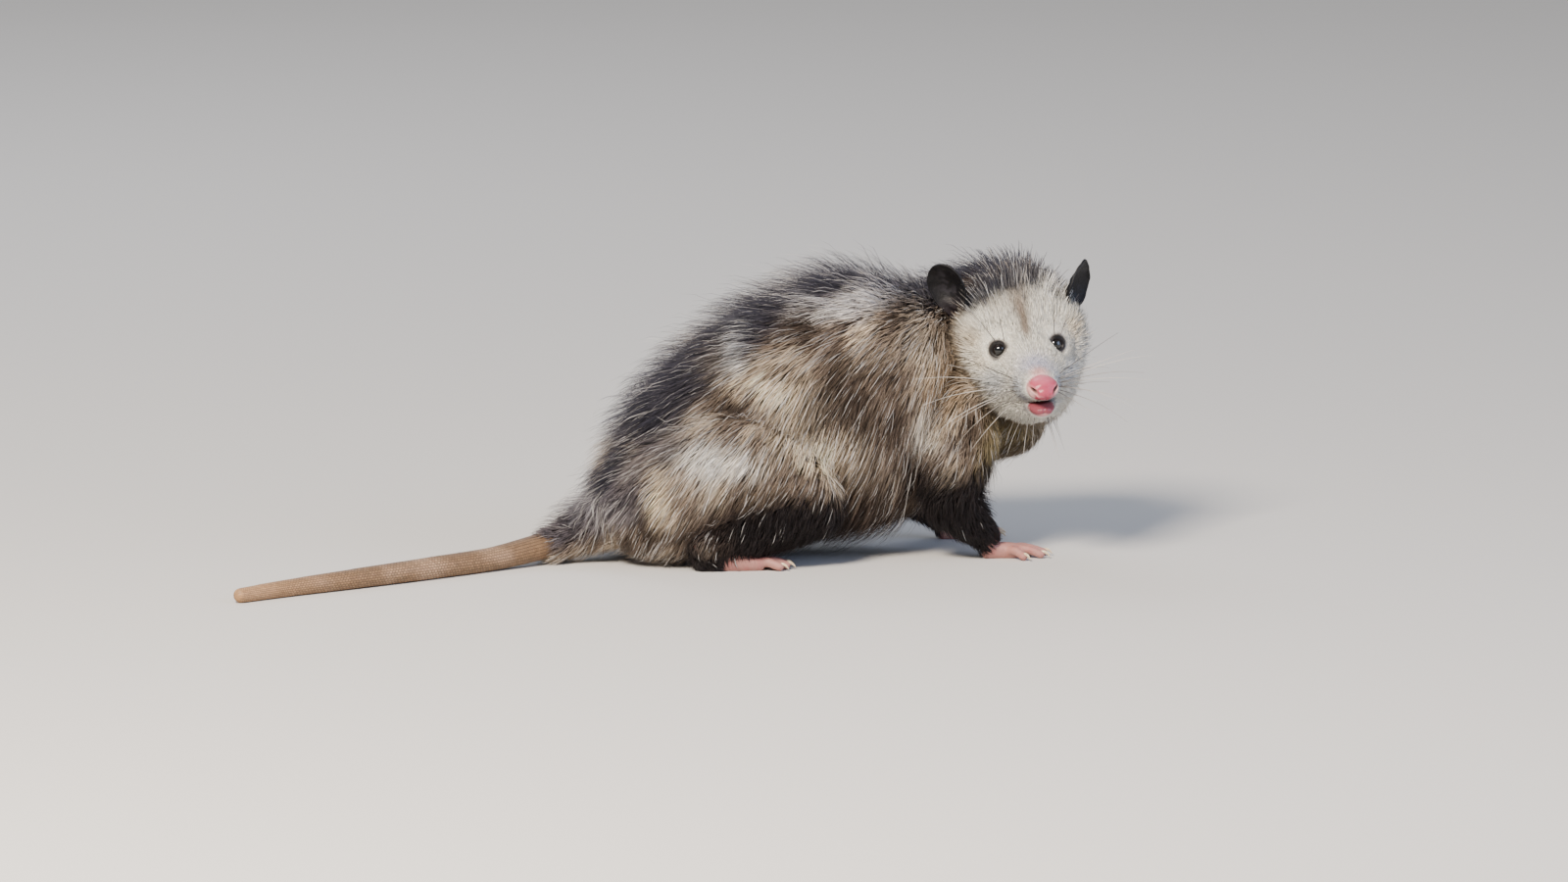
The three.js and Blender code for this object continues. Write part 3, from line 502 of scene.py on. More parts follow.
# Where each vertex of the hide belongs: the limb whose surface is nearest, and where on it
SAMPLE_SIDES, SAMPLE_STEPS = 36, 60
samples, sample_limb, sample_t, sample_angle = [], [], [], []
for number, limb in enumerate(limbs):
    shares = np.linspace(0, 1, SAMPLE_STEPS + 1)
    angles = 2 * np.pi * (np.arange(SAMPLE_SIDES) + 0.5) / SAMPLE_SIDES
    t, angle = (grid.ravel() for grid in np.meshgrid(shares, angles, indexing="ij"))
    samples.append(limb.surface(t, angle, hide_level(limb)(t)))
    sample_limb.append(np.full(len(t), number))
    sample_t.append(t)
    sample_angle.append(angle)
samples, sample_limb = np.concatenate(samples), np.concatenate(sample_limb)
sample_t, sample_angle = np.concatenate(sample_t), np.concatenate(sample_angle)
sample_tree = KDTree(len(samples))
for i, place in enumerate(samples):
    sample_tree.insert(place, i)
sample_tree.balance()


def nearest_samples(places):
    return np.array([sample_tree.find(place)[1] for place in places])


places = vertices_of(skin.data)
edges = edges_of(skin.data)
owner = sample_limb[nearest_samples(places)]
kinds = np.array([limb.kind for limb in limbs])
# Flesh runs smoothly from one part of the body into the next, but toes and the face keep their forms
SOFTNESS = {
    "trunk": 1.0, "upper": 1.0, "thigh": 1.0, "shank": 0.7, "forearm": 0.7, "tail": 0.35, "skull": 0.3,
    "jaw": 0.25,
}
FIRM = 0.12  # the softness of what isn't named
SOFTENING_ROUNDS = 24
strength = np.array([SOFTNESS.get(kind, FIRM) for kind in kinds])[owner]
strength = spread(strength, edges, 1.0, 4)
places = spread(places, edges, 0.5 * strength, SOFTENING_ROUNDS)
set_vertices(skin.data, places)


def refined(mesh, chosen):
    """Cuts the faces at the chosen vertices in four"""
    cut = bmesh.new()
    cut.from_mesh(mesh)
    cut.verts.ensure_lookup_table()
    picked = set(np.flatnonzero(chosen).tolist())
    edges = [edge for edge in cut.edges if edge.verts[0].index in picked and edge.verts[1].index in picked]
    bmesh.ops.subdivide_edges(cut, edges=edges, cuts=1, use_grid_fill=True)
    cut.to_mesh(mesh)
    cut.free()
    return vertices_of(mesh), edges_of(mesh)


def smoothstep(low, high, value):
    share = np.clip((value - low) / (high - low), 0, 1)
    return share * share * (3 - 2 * share)


def gap_to_eyes(head):
    """How far each place of the head's frame is from the middle of the nearer eye"""
    return np.minimum(*(np.linalg.norm(head - [0, side * EYE_SPACING / 2, 0], axis=1) for side in (-1, 1)))


# The face and the feet are cut finer, and the face finer again round the eyes, nose and mouth
head = to_head(places)
on_front = (head[:, 0] > -16) & (np.abs(head[:, 1]) < 42) & (np.abs(head[:, 2] + 14) < 42)
by_feet = (places[:, 2] < 15) & (places[:, 0] > -110)
places, edges = refined(skin.data, on_front | by_feet)
places = spread(places, edges, 0.3, 3)
head = to_head(places)
by_mouth = (head[:, 0] > 40) & (np.abs(head[:, 1]) < 22) & (head[:, 2] < 6) & (head[:, 2] > -48)
places, edges = refined(skin.data, (gap_to_eyes(head) < 12) | by_mouth)
places = spread(places, edges, 0.25, 3)
head = to_head(places)

# The lids: a slit cut round the way the eye looks, with a rolled rim and a soft fold round it. Both eyes
# look at the one who faces them from a little to the right.
LOOK_OUT = {-1: math.radians(12), 1: math.radians(-3)}  # the right eye and the left one
LOOK_UP = math.radians(8)
LID_SLIT = (6.6, 5.9)  # half width and half height
LID_REACH = 13.0
LID_FOLD = 0.35  # how deep the fold is
lid_ring = np.full(len(head), 9.0)
for side in (-1, 1):
    turn = np.array(Matrix.Rotation(side * LOOK_OUT[side], 3, "Z") @ Matrix.Rotation(-LOOK_UP, 3, "Y"))
    centre = np.array([0, side * EYE_SPACING / 2, 0])
    local = (head - centre) @ turn
    radius = np.linalg.norm(local, axis=1)
    ring = np.hypot(local[:, 1] / LID_SLIT[0], local[:, 2] / LID_SLIT[1])
    near = (radius < LID_REACH) & (local[:, 0] > -1)
    lid_ring = np.where((radius < LID_REACH) & (local[:, 0] > -6), np.minimum(lid_ring, ring), lid_ring)
    rim = np.where(near, 1 - smoothstep(1.15, 1.75, ring), 0)
    goal = radius + rim * (EYE_RADIUS + LID_THICKNESS - radius)
    fold = np.where(near, np.exp(-((ring - 1.62) / 0.13) ** 2), 0)
    goal -= LID_FOLD * fold
    slit = np.where(near, 1 - smoothstep(0.98, 1.1, ring), 0)
    goal = goal * (1 - slit) + (EYE_RADIUS - 1.4) * slit
    local *= (goal / np.maximum(radius, 1e-6))[:, None]
    head = np.where(near[:, None], local @ turn.T + centre, head)

# The nostrils: slanting slits with a pale wing round each. The mouth: a line that runs back from the
# lips and down a little, open at the front.
NOSTRIL_PLACE = (8.6, -13.6)  # out from the middle, and height
NOSTRIL_HALF = (3.4, 1.25)
NOSTRIL_DEPTH = 4.0
MOUTH_FRONT = (58.0, -27.6)
MOUTH_SLOPE = 0.25
MOUTH_CORNER = 15.0
ahead, out, high = head[:, 0], np.abs(head[:, 1]), head[:, 2]
long_way = (out - NOSTRIL_PLACE[0]) * 0.76 + (high - NOSTRIL_PLACE[1]) * 0.65
short_way = -(out - NOSTRIL_PLACE[0]) * 0.65 + (high - NOSTRIL_PLACE[1]) * 0.76
short_way = short_way + 0.06 * long_way**2
pit = np.hypot(long_way / NOSTRIL_HALF[0], short_way / NOSTRIL_HALF[1])
pit = np.where(ahead > 52, pit, 9)
push = -NOSTRIL_DEPTH * np.exp(-pit**4) + 0.5 * np.exp(-((pit - 1.7) / 0.5) ** 2)
groove = np.where((ahead > 55) & (high < -14), np.exp(-(head[:, 1] / 0.9) ** 2), 0)
groove = groove * smoothstep(-14, -20, high)
push -= 0.7 * groove
mouth_height = MOUTH_FRONT[1] - MOUTH_SLOPE * (MOUTH_FRONT[0] - ahead)
gape = 1.0 + 0.9 * smoothstep(40, 55, ahead)
along_mouth = smoothstep(MOUTH_CORNER - 2, MOUTH_CORNER + 8, ahead)
crease = np.exp(-((high - mouth_height) / gape) ** 2) * along_mouth
crease = np.where((high < -20) & (high > -45) & (ahead < 63), crease, 0)
to_front = smoothstep(35, 60, ahead)
inward = np.stack([-to_front, -np.sign(head[:, 1]) * (1.2 - to_front), 0 * ahead], 1)
opening = 1.6 + 2.4 * smoothstep(38, 56, ahead)
head = head + np.stack([push, 0 * push, 0 * push], 1) + (crease * opening)[:, None] * unit(inward)
places = from_head(head)
places[:, 2] = np.maximum(places[:, 2], 0)  # the soles stay on the floor
set_vertices(skin.data, places)


def normals_of(mesh):
    flat = np.empty(len(mesh.vertices) * 3, np.float32)
    mesh.vertex_normals.foreach_get("vector", flat)
    return flat.reshape(-1, 3).astype(float)


def corners_of(mesh):
    mesh.calc_loop_triangles()
    flat = np.empty(len(mesh.loop_triangles) * 3, np.int32)
    mesh.loop_triangles.foreach_get("vertices", flat)
    return flat.reshape(-1, 3)


def located(places, nearest):
    """The limb that owns each place, with its share along that limb and its angle round it"""
    owner, t, angle = sample_limb[nearest], sample_t[nearest].copy(), sample_angle[nearest].copy()
    for number, limb in enumerate(limbs):
        mine = owner == number
        if mine.any():
            t[mine], angle[mine] = limb.locate(places[mine], t[mine])
    return owner, t, angle


# Where each vertex of the finished hide lies on its limb
normals = normals_of(skin.data)
triangles = corners_of(skin.data)
owner, hide_t, hide_angle = located(places, nearest_samples(places))
kind = kinds[owner]
head = to_head(places)
# The coat's outside above each vertex, where the markings are seen
SEEN_LEVEL = 0.8
outer = places.copy()
for number, limb in enumerate(limbs):
    mine = owner == number
    if mine.any():
        outer[mine] = limb.surface(hide_t[mine], hide_angle[mine], SEEN_LEVEL)
outer = spread(outer, edges, 1.0, 8)
high = spread(np.sin(hide_angle), edges, 1.0, 6)  # 1 along the back, -1 along the belly


def value_noise(places, size, seed):
    """Smooth noise from -1 to 1, with blotches about size millimetres across"""
    scaled = places / size + seed * 13.7
    cell = np.floor(scaled).astype(np.int64)
    part = scaled - cell
    part = part * part * (3 - 2 * part)
    total = np.zeros(len(places))
    for i in range(8):
        corner = np.array([i & 1, i >> 1 & 1, i >> 2 & 1])
        x, y, z = (cell + corner).T
        mixed = (x * 73856093) ^ (y * 19349663) ^ (z * 83492791) ^ (seed * 2654435)
        mixed = (mixed ^ (mixed >> 13)) * 1274126177 & 0xFFFFFFFF
        mixed = (mixed ^ (mixed >> 16)) & 0xFFFF
        total += np.where(corner, part, 1 - part).prod(1) * mixed / 0xFFFF
    return 2 * total - 1


def painted(colour, code, share):
    return colour + np.clip(share, 0, 1)[:, None] * (linear(code) - colour)


# The markings of the body: grizzled brown, darker along the back and below, with pale blotches. A
# blotch is its middle (along the body, height), half sizes, tilt in degrees, colour and strength.
BLOTCHES = [
    (40, 218, 38, 7, 4, "d2cfcf", 0.95), (-46, 178, 8, 15, 8, "bfc1c4", 0.8),
    (-20, 150, 40, 16, -20, "ecdabf", 1.0), (-84, 97, 26, 17, 30, "f4efe6", 1.0),
    (-52, 94, 20, 12, -10, "f0e9de", 1.0), (-122, 64, 11, 27, 10, "e2cfb2", 0.95),
    (-104, 70, 12, 24, 0, "b09d88", 0.6), (20, 136, 42, 13, -38, "453b35", 0.75),
    (10, 101, 42, 14, -36, "ecdcc2", 1.0), (-14, 122, 26, 8, -35, "5b4f47", 0.6),
    (101, 110, 12, 19, 15, "dcd3c6", 0.9), (120, 124, 10, 12, 0, "b3a491", 0.6),
    (88, 74, 15, 26, 0, "3c332e", 0.75), (101, 182, 14, 30, 0, "b3a797", 0.65),
    (72, 160, 15, 34, 8, "544941", 0.6),
    (-160, 42, 18, 13, 0, "a29ea4", 0.65), (60, 176, 26, 12, 0, "9b8d7c", 0.45),
    (118, 148, 20, 26, 0, "9d876b", 0.65), (40, 84, 16, 30, -10, "94836f", 0.5),
    (62, 110, 14, 36, -14, "5a4e45", 0.5), (-40, 66, 20, 14, 0, "8d7d6b", 0.5),
    (176, 88, 26, 20, 0, "b0a070", 0.8),
]
SIDE_STEP = 14.0  # the blotches of the left side lie this much further back
SWAY = 9.0  # how far the edge of a blotch wanders
sway = np.stack([value_noise(places, 26, 3), value_noise(places, 26, 4)], 1) * SWAY
dapple = 0.55 * value_noise(places, 30, 1) + 0.6 * value_noise(places, 13, 2)
x, y, z = outer.T
coat_colour = np.tile(linear("7b6d61"), (len(places), 1))
coat_colour = painted(coat_colour, "cfbfa9", 0.8 * smoothstep(0.08, 0.55, dapple))
coat_colour = painted(coat_colour, "382e28", 0.9 * smoothstep(-0.02, -0.42, dapple))
low = smoothstep(84, 38, z + 8 * dapple) * smoothstep(-118, -70, x)
coat_colour = painted(coat_colour, "3a2f2a", 0.9 * low)
slate_rump = smoothstep(-70, -125, x) * smoothstep(-0.6, 0.3, high + 0.3 * dapple)
coat_colour = painted(coat_colour, "4f4c55", 0.85 * slate_rump)
ridge_edge = np.interp(x, [-140, -60, 0, 60, 100, 150], [0.6, 0.66, 0.84, 0.84, 0.8, 0.76])
ridge = smoothstep(-0.08, 0.08, high + 0.06 * dapple - ridge_edge) * (kind == "trunk")
coat_colour = painted(coat_colour, "34343f", 0.92 * ridge)
for bx, bz, half_x, half_z, tilt, code, strength in BLOTCHES:
    dx = x - bx + sway[:, 0] + np.where(y > 0, SIDE_STEP, 0)
    dz = z - bz + sway[:, 1]
    c, s = math.cos(math.radians(tilt)), math.sin(math.radians(tilt))
    reach = ((dx * c + dz * s) / half_x) ** 2 + ((dz * c - dx * s) / half_z) ** 2
    coat_colour = painted(coat_colour, code, strength * np.exp(-reach**1.4))
# A dark crest runs along the top of the back, over the blotches
crest = smoothstep(0.89, 0.96, high) * smoothstep(-150, -110, x) * (kind == "trunk")
coat_colour = painted(coat_colour, "3a3a44", 0.85 * crest)
# The legs are black from the elbow and the knee down
black = np.isin(kind, ("forearm", "shank", "hand", "foot")) * 1.0
black = np.maximum(black, (kind == "upper") * smoothstep(92, 66, z + 10 * dapple))
from_knee = ((x + 22) / 44) ** 2 + ((z - 38) / 27) ** 2
black = np.maximum(black, 0.9 * np.exp(-from_knee**1.1) * (np.abs(y) > 30))
black *= np.where(kind == "shank", smoothstep(-95, -45, x), 1)
black = spread(black, edges, 1.0, 60)
black = np.clip(1.25 * black - 0.1 + 1.2 * value_noise(places, 9, 12) * black * (1 - black), 0, 1)
coat_colour = painted(coat_colour, "74684f", 0.6 * smoothstep(140, 175, x) * smoothstep(150, 120, z))
coat_colour = painted(coat_colour, "1d1819", black)

# The face is white, with a brown stripe on the forehead and warm temples. The muzzle is lilac, partly its
# own colour and partly painted blue shade, and painted blue shade lies beside the nose and low on the
# cheeks.
hx, hy, hz = to_head(outer).T
edge = np.interp(hz, [-49, -32, -3, 12, 25, 42], [0, -8, -19, -34, -34, -26]) - 13 * smoothstep(0, 25, hy)
edge += np.interp(hz, [15, 30], [5, 9]) * value_noise(places, 8, 8)
blend = np.interp(hz, [12, 36], [8, 15])
on_head = spread(np.isin(kind, ("skull", "jaw", "nose", "lip")) * 1.0, edges, 1.0, 8)
crown = on_head * smoothstep(10, 26, hz) * smoothstep(-16, -34, hx)
temple = on_head * np.exp(-((hx - edge + 10) / 12) ** 2) * smoothstep(26, 10, hz)
coat_colour = painted(coat_colour, "b3a48e", 0.7 * temple)
coat_colour = painted(coat_colour, "30323c", 0.95 * crown)
white = on_head * smoothstep(-1, 1, (hx - edge) / blend)
coat_colour = painted(coat_colour, "e8e5da", white)
# A patch is its colour and strength, its middle (ahead, out, up) and its half sizes, the same on each side
FACE_PATCHES = [
    ("cdb99b", 0.55, -20, 44, 6, 11, 9, 10), ("cdb99b", 0.35, -8, 36, -10, 14, 9, 9),
    # Painted shade: the lilac of the muzzle is partly painted blue shade, and the blue-grey beside the nose
    # and low on the cheeks is painted blue shade
    ("aeb0d0", 0.9, 27, 0, -8, 16, 15, 11), ("a9b4c6", 0.7, 36, 15, -19, 13, 7, 8),
    ("7c7f92", 0.7, 43, 13, -27, 8, 6, 4.5), ("a9b4c6", 0.5, 12, 30, -22, 16, 9, 11),
    # The dark grey at the corners of the mouth is painted shade in the mouth's crease
    ("d9a4a2", 0.85, 44, 0, -6, 8, 8, 7), ("6f6a70", 0.75, 44, 12, -36, 8, 6, 6),
    # The grey-brown under the jaw is painted shade
    ("9a8d7f", 0.8, -18, 26, -48, 16, 14, 7),
]
for code, strength, ax, ay, az, sx, sy, sz in FACE_PATCHES:
    reach = ((hx - ax) / sx) ** 2 + ((np.abs(hy) - ay) / sy) ** 2 + ((hz - az) / sz) ** 2
    coat_colour = painted(coat_colour, code, strength * np.exp(-reach**1.3) * white)
stripe_width = np.interp(hx, [-44, -30, -12, 12], [17, 11, 6, 3])
from_stripe = np.abs(hy + 0.6 + value_noise(places, 9, 6)) / stripe_width
stripe = np.exp(-from_stripe**2.4) * smoothstep(14, 4, hx) * (hz > 0)
coat_colour = painted(coat_colour, "877464", 0.85 * stripe * white)
coat_colour = painted(coat_colour, "3a3137", 0.75 * smoothstep(1.75, 1.4, lid_ring))
# Darker at the inner corner of each eye: dark skin there and painted shade in the corner
reach = ((hx - 8) / 7) ** 2 + ((np.abs(hy) - 17.5) / 5.5) ** 2 + ((hz + 4.5) / 5.5) ** 2
coat_colour = painted(coat_colour, "4d4049", 0.75 * np.exp(-reach) * white)
# Painted shade along the crease of the mouth
coat_colour = painted(coat_colour, "54464b", 0.8 * spread(crease, edges, 1.0, 3))

# Bare skin: pink on the nose, lips, hands and feet, tan and scaly on the tail, dark on the lids
is_nose = np.isin(kind, ("nose",)) * smoothstep(44, 51, hx)
from_lip = ((hx - 54) / 8) ** 2 + (hy / 9) ** 2 + ((hz + 33) / 5) ** 2
is_lip = np.maximum((kind == "lip") * 1.0, (kind == "jaw") * np.exp(-from_lip**2))
is_paw = np.isin(kind, ("hand", "foot")) * 1.0
is_tail = (kind == "tail") * smoothstep(0.08, 0.22, hide_t + 0.06 * value_noise(places, 6, 19))
is_lid = smoothstep(1.55, 1.3, lid_ring)
bare = [spread(mask, edges, 1.0, 3) for mask in (is_nose, is_lip, is_paw, is_tail, is_lid)]
bare[2] = bare[2] * np.where(kind == "foot", smoothstep(0.15, 0.4, hide_t), 1)
is_nose, is_lip, is_paw, is_tail, is_lid = bare
# Under the hair the hide takes the coat's colour, darkened: painted shade deep in the fur
hide_colour = coat_colour * (0.6 + 0.25 * on_head)[:, None]
hide_colour = painted(hide_colour, "a9465a", is_nose)
wing = is_nose * smoothstep(6.8, 9.8, np.abs(hy)) * smoothstep(-9, -14, hz)
hide_colour = painted(hide_colour, "ddb3ad", 0.85 * wing)
hide_colour = painted(hide_colour, "bd6a7c", 0.6 * is_nose * smoothstep(-10, -6, hz))
# The lower middle of the nose is darker red: the philtrum's own deeper red and painted shade under the nose
philtrum_red_and_shade = is_nose * smoothstep(-15, -21, hz) * smoothstep(9, 5, np.abs(hy))
hide_colour = painted(hide_colour, "8a2c40", 0.6 * philtrum_red_and_shade)
# The nostrils are painted near black: painted shade inside the slits
hide_colour = painted(hide_colour, "2e0a10", is_nose * np.exp(-(pit * 1.05) ** 4))
hide_colour = painted(hide_colour, "80404a", is_lip)
hide_colour = painted(hide_colour, "d8a5a2", 0.8 * is_lip * smoothstep(-35.5, -39, hz))
# The gap of the mouth is painted dark red: painted shade inside the mouth
hide_colour = painted(hide_colour, "3a0c10", 0.95 * smoothstep(0.3, 0.8, crease) * smoothstep(30, 46, hx))
hide_colour = painted(hide_colour, "a6776f", is_paw)
blush = value_noise(places, 5, 21)
hide_colour = painted(hide_colour, "a4605e", 0.5 * is_paw * smoothstep(0, 0.8, blush))
hide_colour = painted(hide_colour, "8f7153", is_tail)
hide_colour = painted(hide_colour, "745f4e", 0.5 * is_tail * smoothstep(0.2, 0.9, high))
worn = smoothstep(-0.1, 0.7, value_noise(places, 18, 9))
hide_colour = painted(hide_colour, "c2a184", 0.5 * is_tail * worn)
hide_colour = painted(hide_colour, "c59a6f", 0.7 * is_tail * smoothstep(0.65, 1, hide_t))
hide_colour = painted(hide_colour, "0e0a0b", is_lid)
moist = np.clip(is_nose + is_lip + 0.4 * is_lid * smoothstep(1.2, 1.05, lid_ring), 0, 1)


def give(mesh, name, values):
    """Stores a colour, a vector or a number for each vertex"""
    values = np.asarray(values, np.float32)
    if values.ndim == 1:
        mesh.attributes.new(name, "FLOAT", "POINT").data.foreach_set("value", values)
    elif name.endswith("colour"):
        full = np.concatenate([values, np.ones((len(values), 1), np.float32)], 1)
        mesh.attributes.new(name, "FLOAT_COLOR", "POINT").data.foreach_set("color", full.ravel())
    else:
        mesh.attributes.new(name, "FLOAT_VECTOR", "POINT").data.foreach_set("vector", values.ravel())


TAIL_LENGTH = 345.0
TAIL_GIRTH = 55.0
give(skin.data, "hide_colour", hide_colour)
give(skin.data, "moist", moist)
give(skin.data, "tail_share", is_tail)
unrolled_tail = np.stack([hide_t * TAIL_LENGTH, hide_angle / (2 * np.pi) * TAIL_GIRTH, 0 * hide_t], 1)
give(skin.data, "tail_place", unrolled_tail)

# Living skin: soft, slightly see-through and satin, wet on the nose, lips and lids. Its fine creases are
# 1.6 mm apart and its pores 0.9 mm. The tail's horny scales lie in rings 1.6 mm apart, drawn 2.4 mm apart
# to show.
CREASE_SIZE = 1.6 * MILLIMETRE
PORE_SIZE = 0.9 * MILLIMETRE
SCALE_RING = 2.4
hide = new_material("living_skin_bare_and_scaled")
tree = hide.node_tree
colour = node(tree, "ShaderNodeAttribute", {"attribute_name": "hide_colour"})
wet = node(tree, "ShaderNodeAttribute", {"attribute_name": "moist"})
on_tail = node(tree, "ShaderNodeAttribute", {"attribute_name": "tail_share"})
spot = node(tree, "ShaderNodeTexCoord")
unrolled = node(tree, "ShaderNodeAttribute", {"attribute_name": "tail_place"})
# The grooves between the tail's scales are painted dark, painted shade in the grooves, and the scales vary a
# little in tone
scales = node(
    tree, "ShaderNodeTexBrick", {"offset": 0.5}, Vector=unrolled.outputs["Vector"], Color1=(1, 1, 1, 1),
    Color2=(0.72, 0.72, 0.72, 1), Mortar=(0.12, 0.12, 0.12, 1), Scale=1.0, Mortar_Size=0.22,
    Mortar_Smooth=0.6, Brick_Width=SCALE_RING, Row_Height=SCALE_RING * 0.9,
)
creases = node(
    tree, "ShaderNodeTexNoise", Vector=spot.outputs["Object"], Scale=1 / CREASE_SIZE, Detail=4.0,
    Roughness=0.6,
)
pores = node(tree, "ShaderNodeTexVoronoi", Vector=spot.outputs["Object"], Scale=1 / PORE_SIZE)
# The skin is darker in its fine creases and lighter between them: painted shade and light over the creases
shade = node(tree, "ShaderNodeMapRange", Value=creases.outputs["Fac"], To_Min=0.8, To_Max=1.18)
MULTIPLY = {"data_type": "RGBA", "blend_type": "MULTIPLY"}
toned = node(tree, "ShaderNodeMix", MULTIPLY, _0=1.0, _6=colour.outputs["Color"])
tree.links.new(shade.outputs[0], toned.inputs[7])
scaled = node(
    tree, "ShaderNodeMix", MULTIPLY, _0=on_tail.outputs["Fac"], _6=toned.outputs[2],
    _7=scales.outputs["Color"],
)
rough = node(tree, "ShaderNodeMapRange", Value=wet.outputs["Fac"], To_Min=0.55, To_Max=0.24)
crease_bump = node(tree, "ShaderNodeBump", Strength=0.35, Distance=0.0004, Height=creases.outputs["Fac"])
pore_bump = node(
    tree, "ShaderNodeBump", Strength=0.25, Distance=0.0003, Height=pores.outputs["Distance"],
    Normal=crease_bump.outputs[0],
)
scale_height = node(
    tree, "ShaderNodeMath", {"operation": "MULTIPLY"}, _0=scales.outputs["Color"], _1=on_tail.outputs["Fac"],
)
scale_bump = node(
    tree, "ShaderNodeBump", Strength=0.8, Distance=0.0005, Height=scale_height.outputs[0],
    Normal=pore_bump.outputs[0],
)
shader = node(
    tree, "ShaderNodeBsdfPrincipled", Base_Color=scaled.outputs[2], Roughness=rough.outputs[0], IOR=1.4,
    Subsurface_Weight=0.12, Subsurface_Radius=(0.6, 0.25, 0.15), Subsurface_Scale=0.002,
    Normal=scale_bump.outputs[0],
)
node(tree, "ShaderNodeOutputMaterial", Surface=shader.outputs[0])
skin.data.materials.append(hide)
skin.data.shade_smooth()
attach(skin, "root")
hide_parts(*[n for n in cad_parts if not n.startswith(("eye", "ear", "claw"))])


# Eyes
#
# Large, round and black, made to see by night. Each is a wet ball with a very dark brown iris and a clear
# cornea that stands out a little. It sits deep under lids of its own.
CORNEA_RISE = 0.5
PUPIL, IRIS = 0.62, 0.8  # shares of the ball's radius
# A wet clear coat: small sharp lights on near black
wet_eye = new_material("wet_cornea_over_dark_iris")
tree = wet_eye.node_tree
colour = node(tree, "ShaderNodeAttribute", {"attribute_name": "eye_colour"})
shader = node(
    tree, "ShaderNodeBsdfPrincipled", Base_Color=colour.outputs["Color"], Roughness=0.06, IOR=1.38,
    Coat_Weight=1.0, Coat_Roughness=0.02,
)
node(tree, "ShaderNodeOutputMaterial", Surface=shader.outputs[0])
for label, side in (("right", -1), ("left", 1)):
    turn = np.array(Matrix.Rotation(side * LOOK_OUT[side], 3, "Z") @ Matrix.Rotation(-LOOK_UP, 3, "Y"))
    grid, faces = ball(np.zeros(3), 1.0, 48, 36)
    grid = grid[:, [2, 1, 0]]  # its pole looks ahead
    aside = np.hypot(grid[:, 1], grid[:, 2])
    in_front = (grid[:, 0] > 0) & (aside < IRIS)
    swell = np.where(in_front, CORNEA_RISE * (1 - (aside / IRIS) ** 2), 0)
    eye_points = grid * (EYE_RADIUS + swell)[:, None]
    iris = np.where(in_front, smoothstep(PUPIL - 0.04, PUPIL + 0.04, aside), 1)
    eye_colour = painted(np.tile(linear("040404"), (len(grid), 1)), "140c09", iris)
    eye_colour = painted(eye_colour, "090606", smoothstep(IRIS - 0.05, IRIS + 0.05, aside))
    ball_place = eye_points @ turn.T + [0, side * EYE_SPACING / 2, 0]
    eye = new_object(f"eyeball_{label}", metres(from_head(ball_place)), [face[::-1] for face in faces])
    give(eye.data, "eye_colour", eye_colour)
    eye.data.materials.append(wet_eye)
    eye.data.shade_smooth()
    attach(eye, "root")
    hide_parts(f"eye_{label}")


# Ears
#
# Thin, hairless and nearly black, like crumpled leather. Each is a cup with a rolled rim, ridges inside
# it and a paler fold at its foot, where it grows out of the fur.
EAR_HEIGHT = 46.0
EAR_WIDTH = 40.0
EAR_THICKNESS = 1.4
EAR_CUP = 11.0
EAR_LEAN_AHEAD, EAR_LEAN_OUT = math.radians(20), math.radians(10)
# name, side, its foot in the head's frame, how far its face is turned outwards, and how pointed it is
EARS = [("right", -1, (-46, -50, 15), 44, 0.05), ("left", 1, (-46, 50, 4.5), 50, 0.45)]
EAR_ROOT = 9.0  # how deep its foot is sunk
EAR_GRAIN = 2.5 * MILLIMETRE
EAR_RINGS, EAR_SECTORS = 32, 96


def ear_leaf(share, angle, lift, point):
    """A point of the ear's leaf: a share of the way out from its middle, an angle, and how far in front"""
    tip = np.maximum(np.sin(angle), 0) * share
    across = share * np.cos(angle) * EAR_WIDTH / 2 * (1 - point * tip**2)
    upward = share * np.sin(angle) * EAR_HEIGHT / 2
    low = (1 - 2 * upward / EAR_HEIGHT) / 2
    cup = EAR_CUP * (share**2 * (0.35 + 0.9 * low) - 1.25)
    fan = np.arctan2(across, upward + EAR_HEIGHT * 0.75)
    ridges = 0.45 * np.cos(9 * fan) * smoothstep(1, 0.6, share) * share
    fold = 3.2 * np.exp(-((share - 0.72) / 0.1) ** 2) * np.exp(-((angle + np.pi / 2) / 0.75) ** 2)
    rim = 0.6 * np.exp(-((share - 0.97) / 0.04) ** 2)
    crumple = 0.8 * value_noise(np.stack([across, upward, 0 * across], -1), 6, 31) * share
    sunk = EAR_ROOT * smoothstep(0.55, 1, share * np.maximum(-np.sin(angle), 0))
    return np.stack([
        cup + lift + ridges + fold + crumple + rim * np.sign(lift) - 0.55 * sunk,
        across * (1 - 0.28 * low) * (1 - 0.035 * sunk),
        upward + EAR_HEIGHT / 2 - sunk + 4 * point * tip**3,
    ], -1)


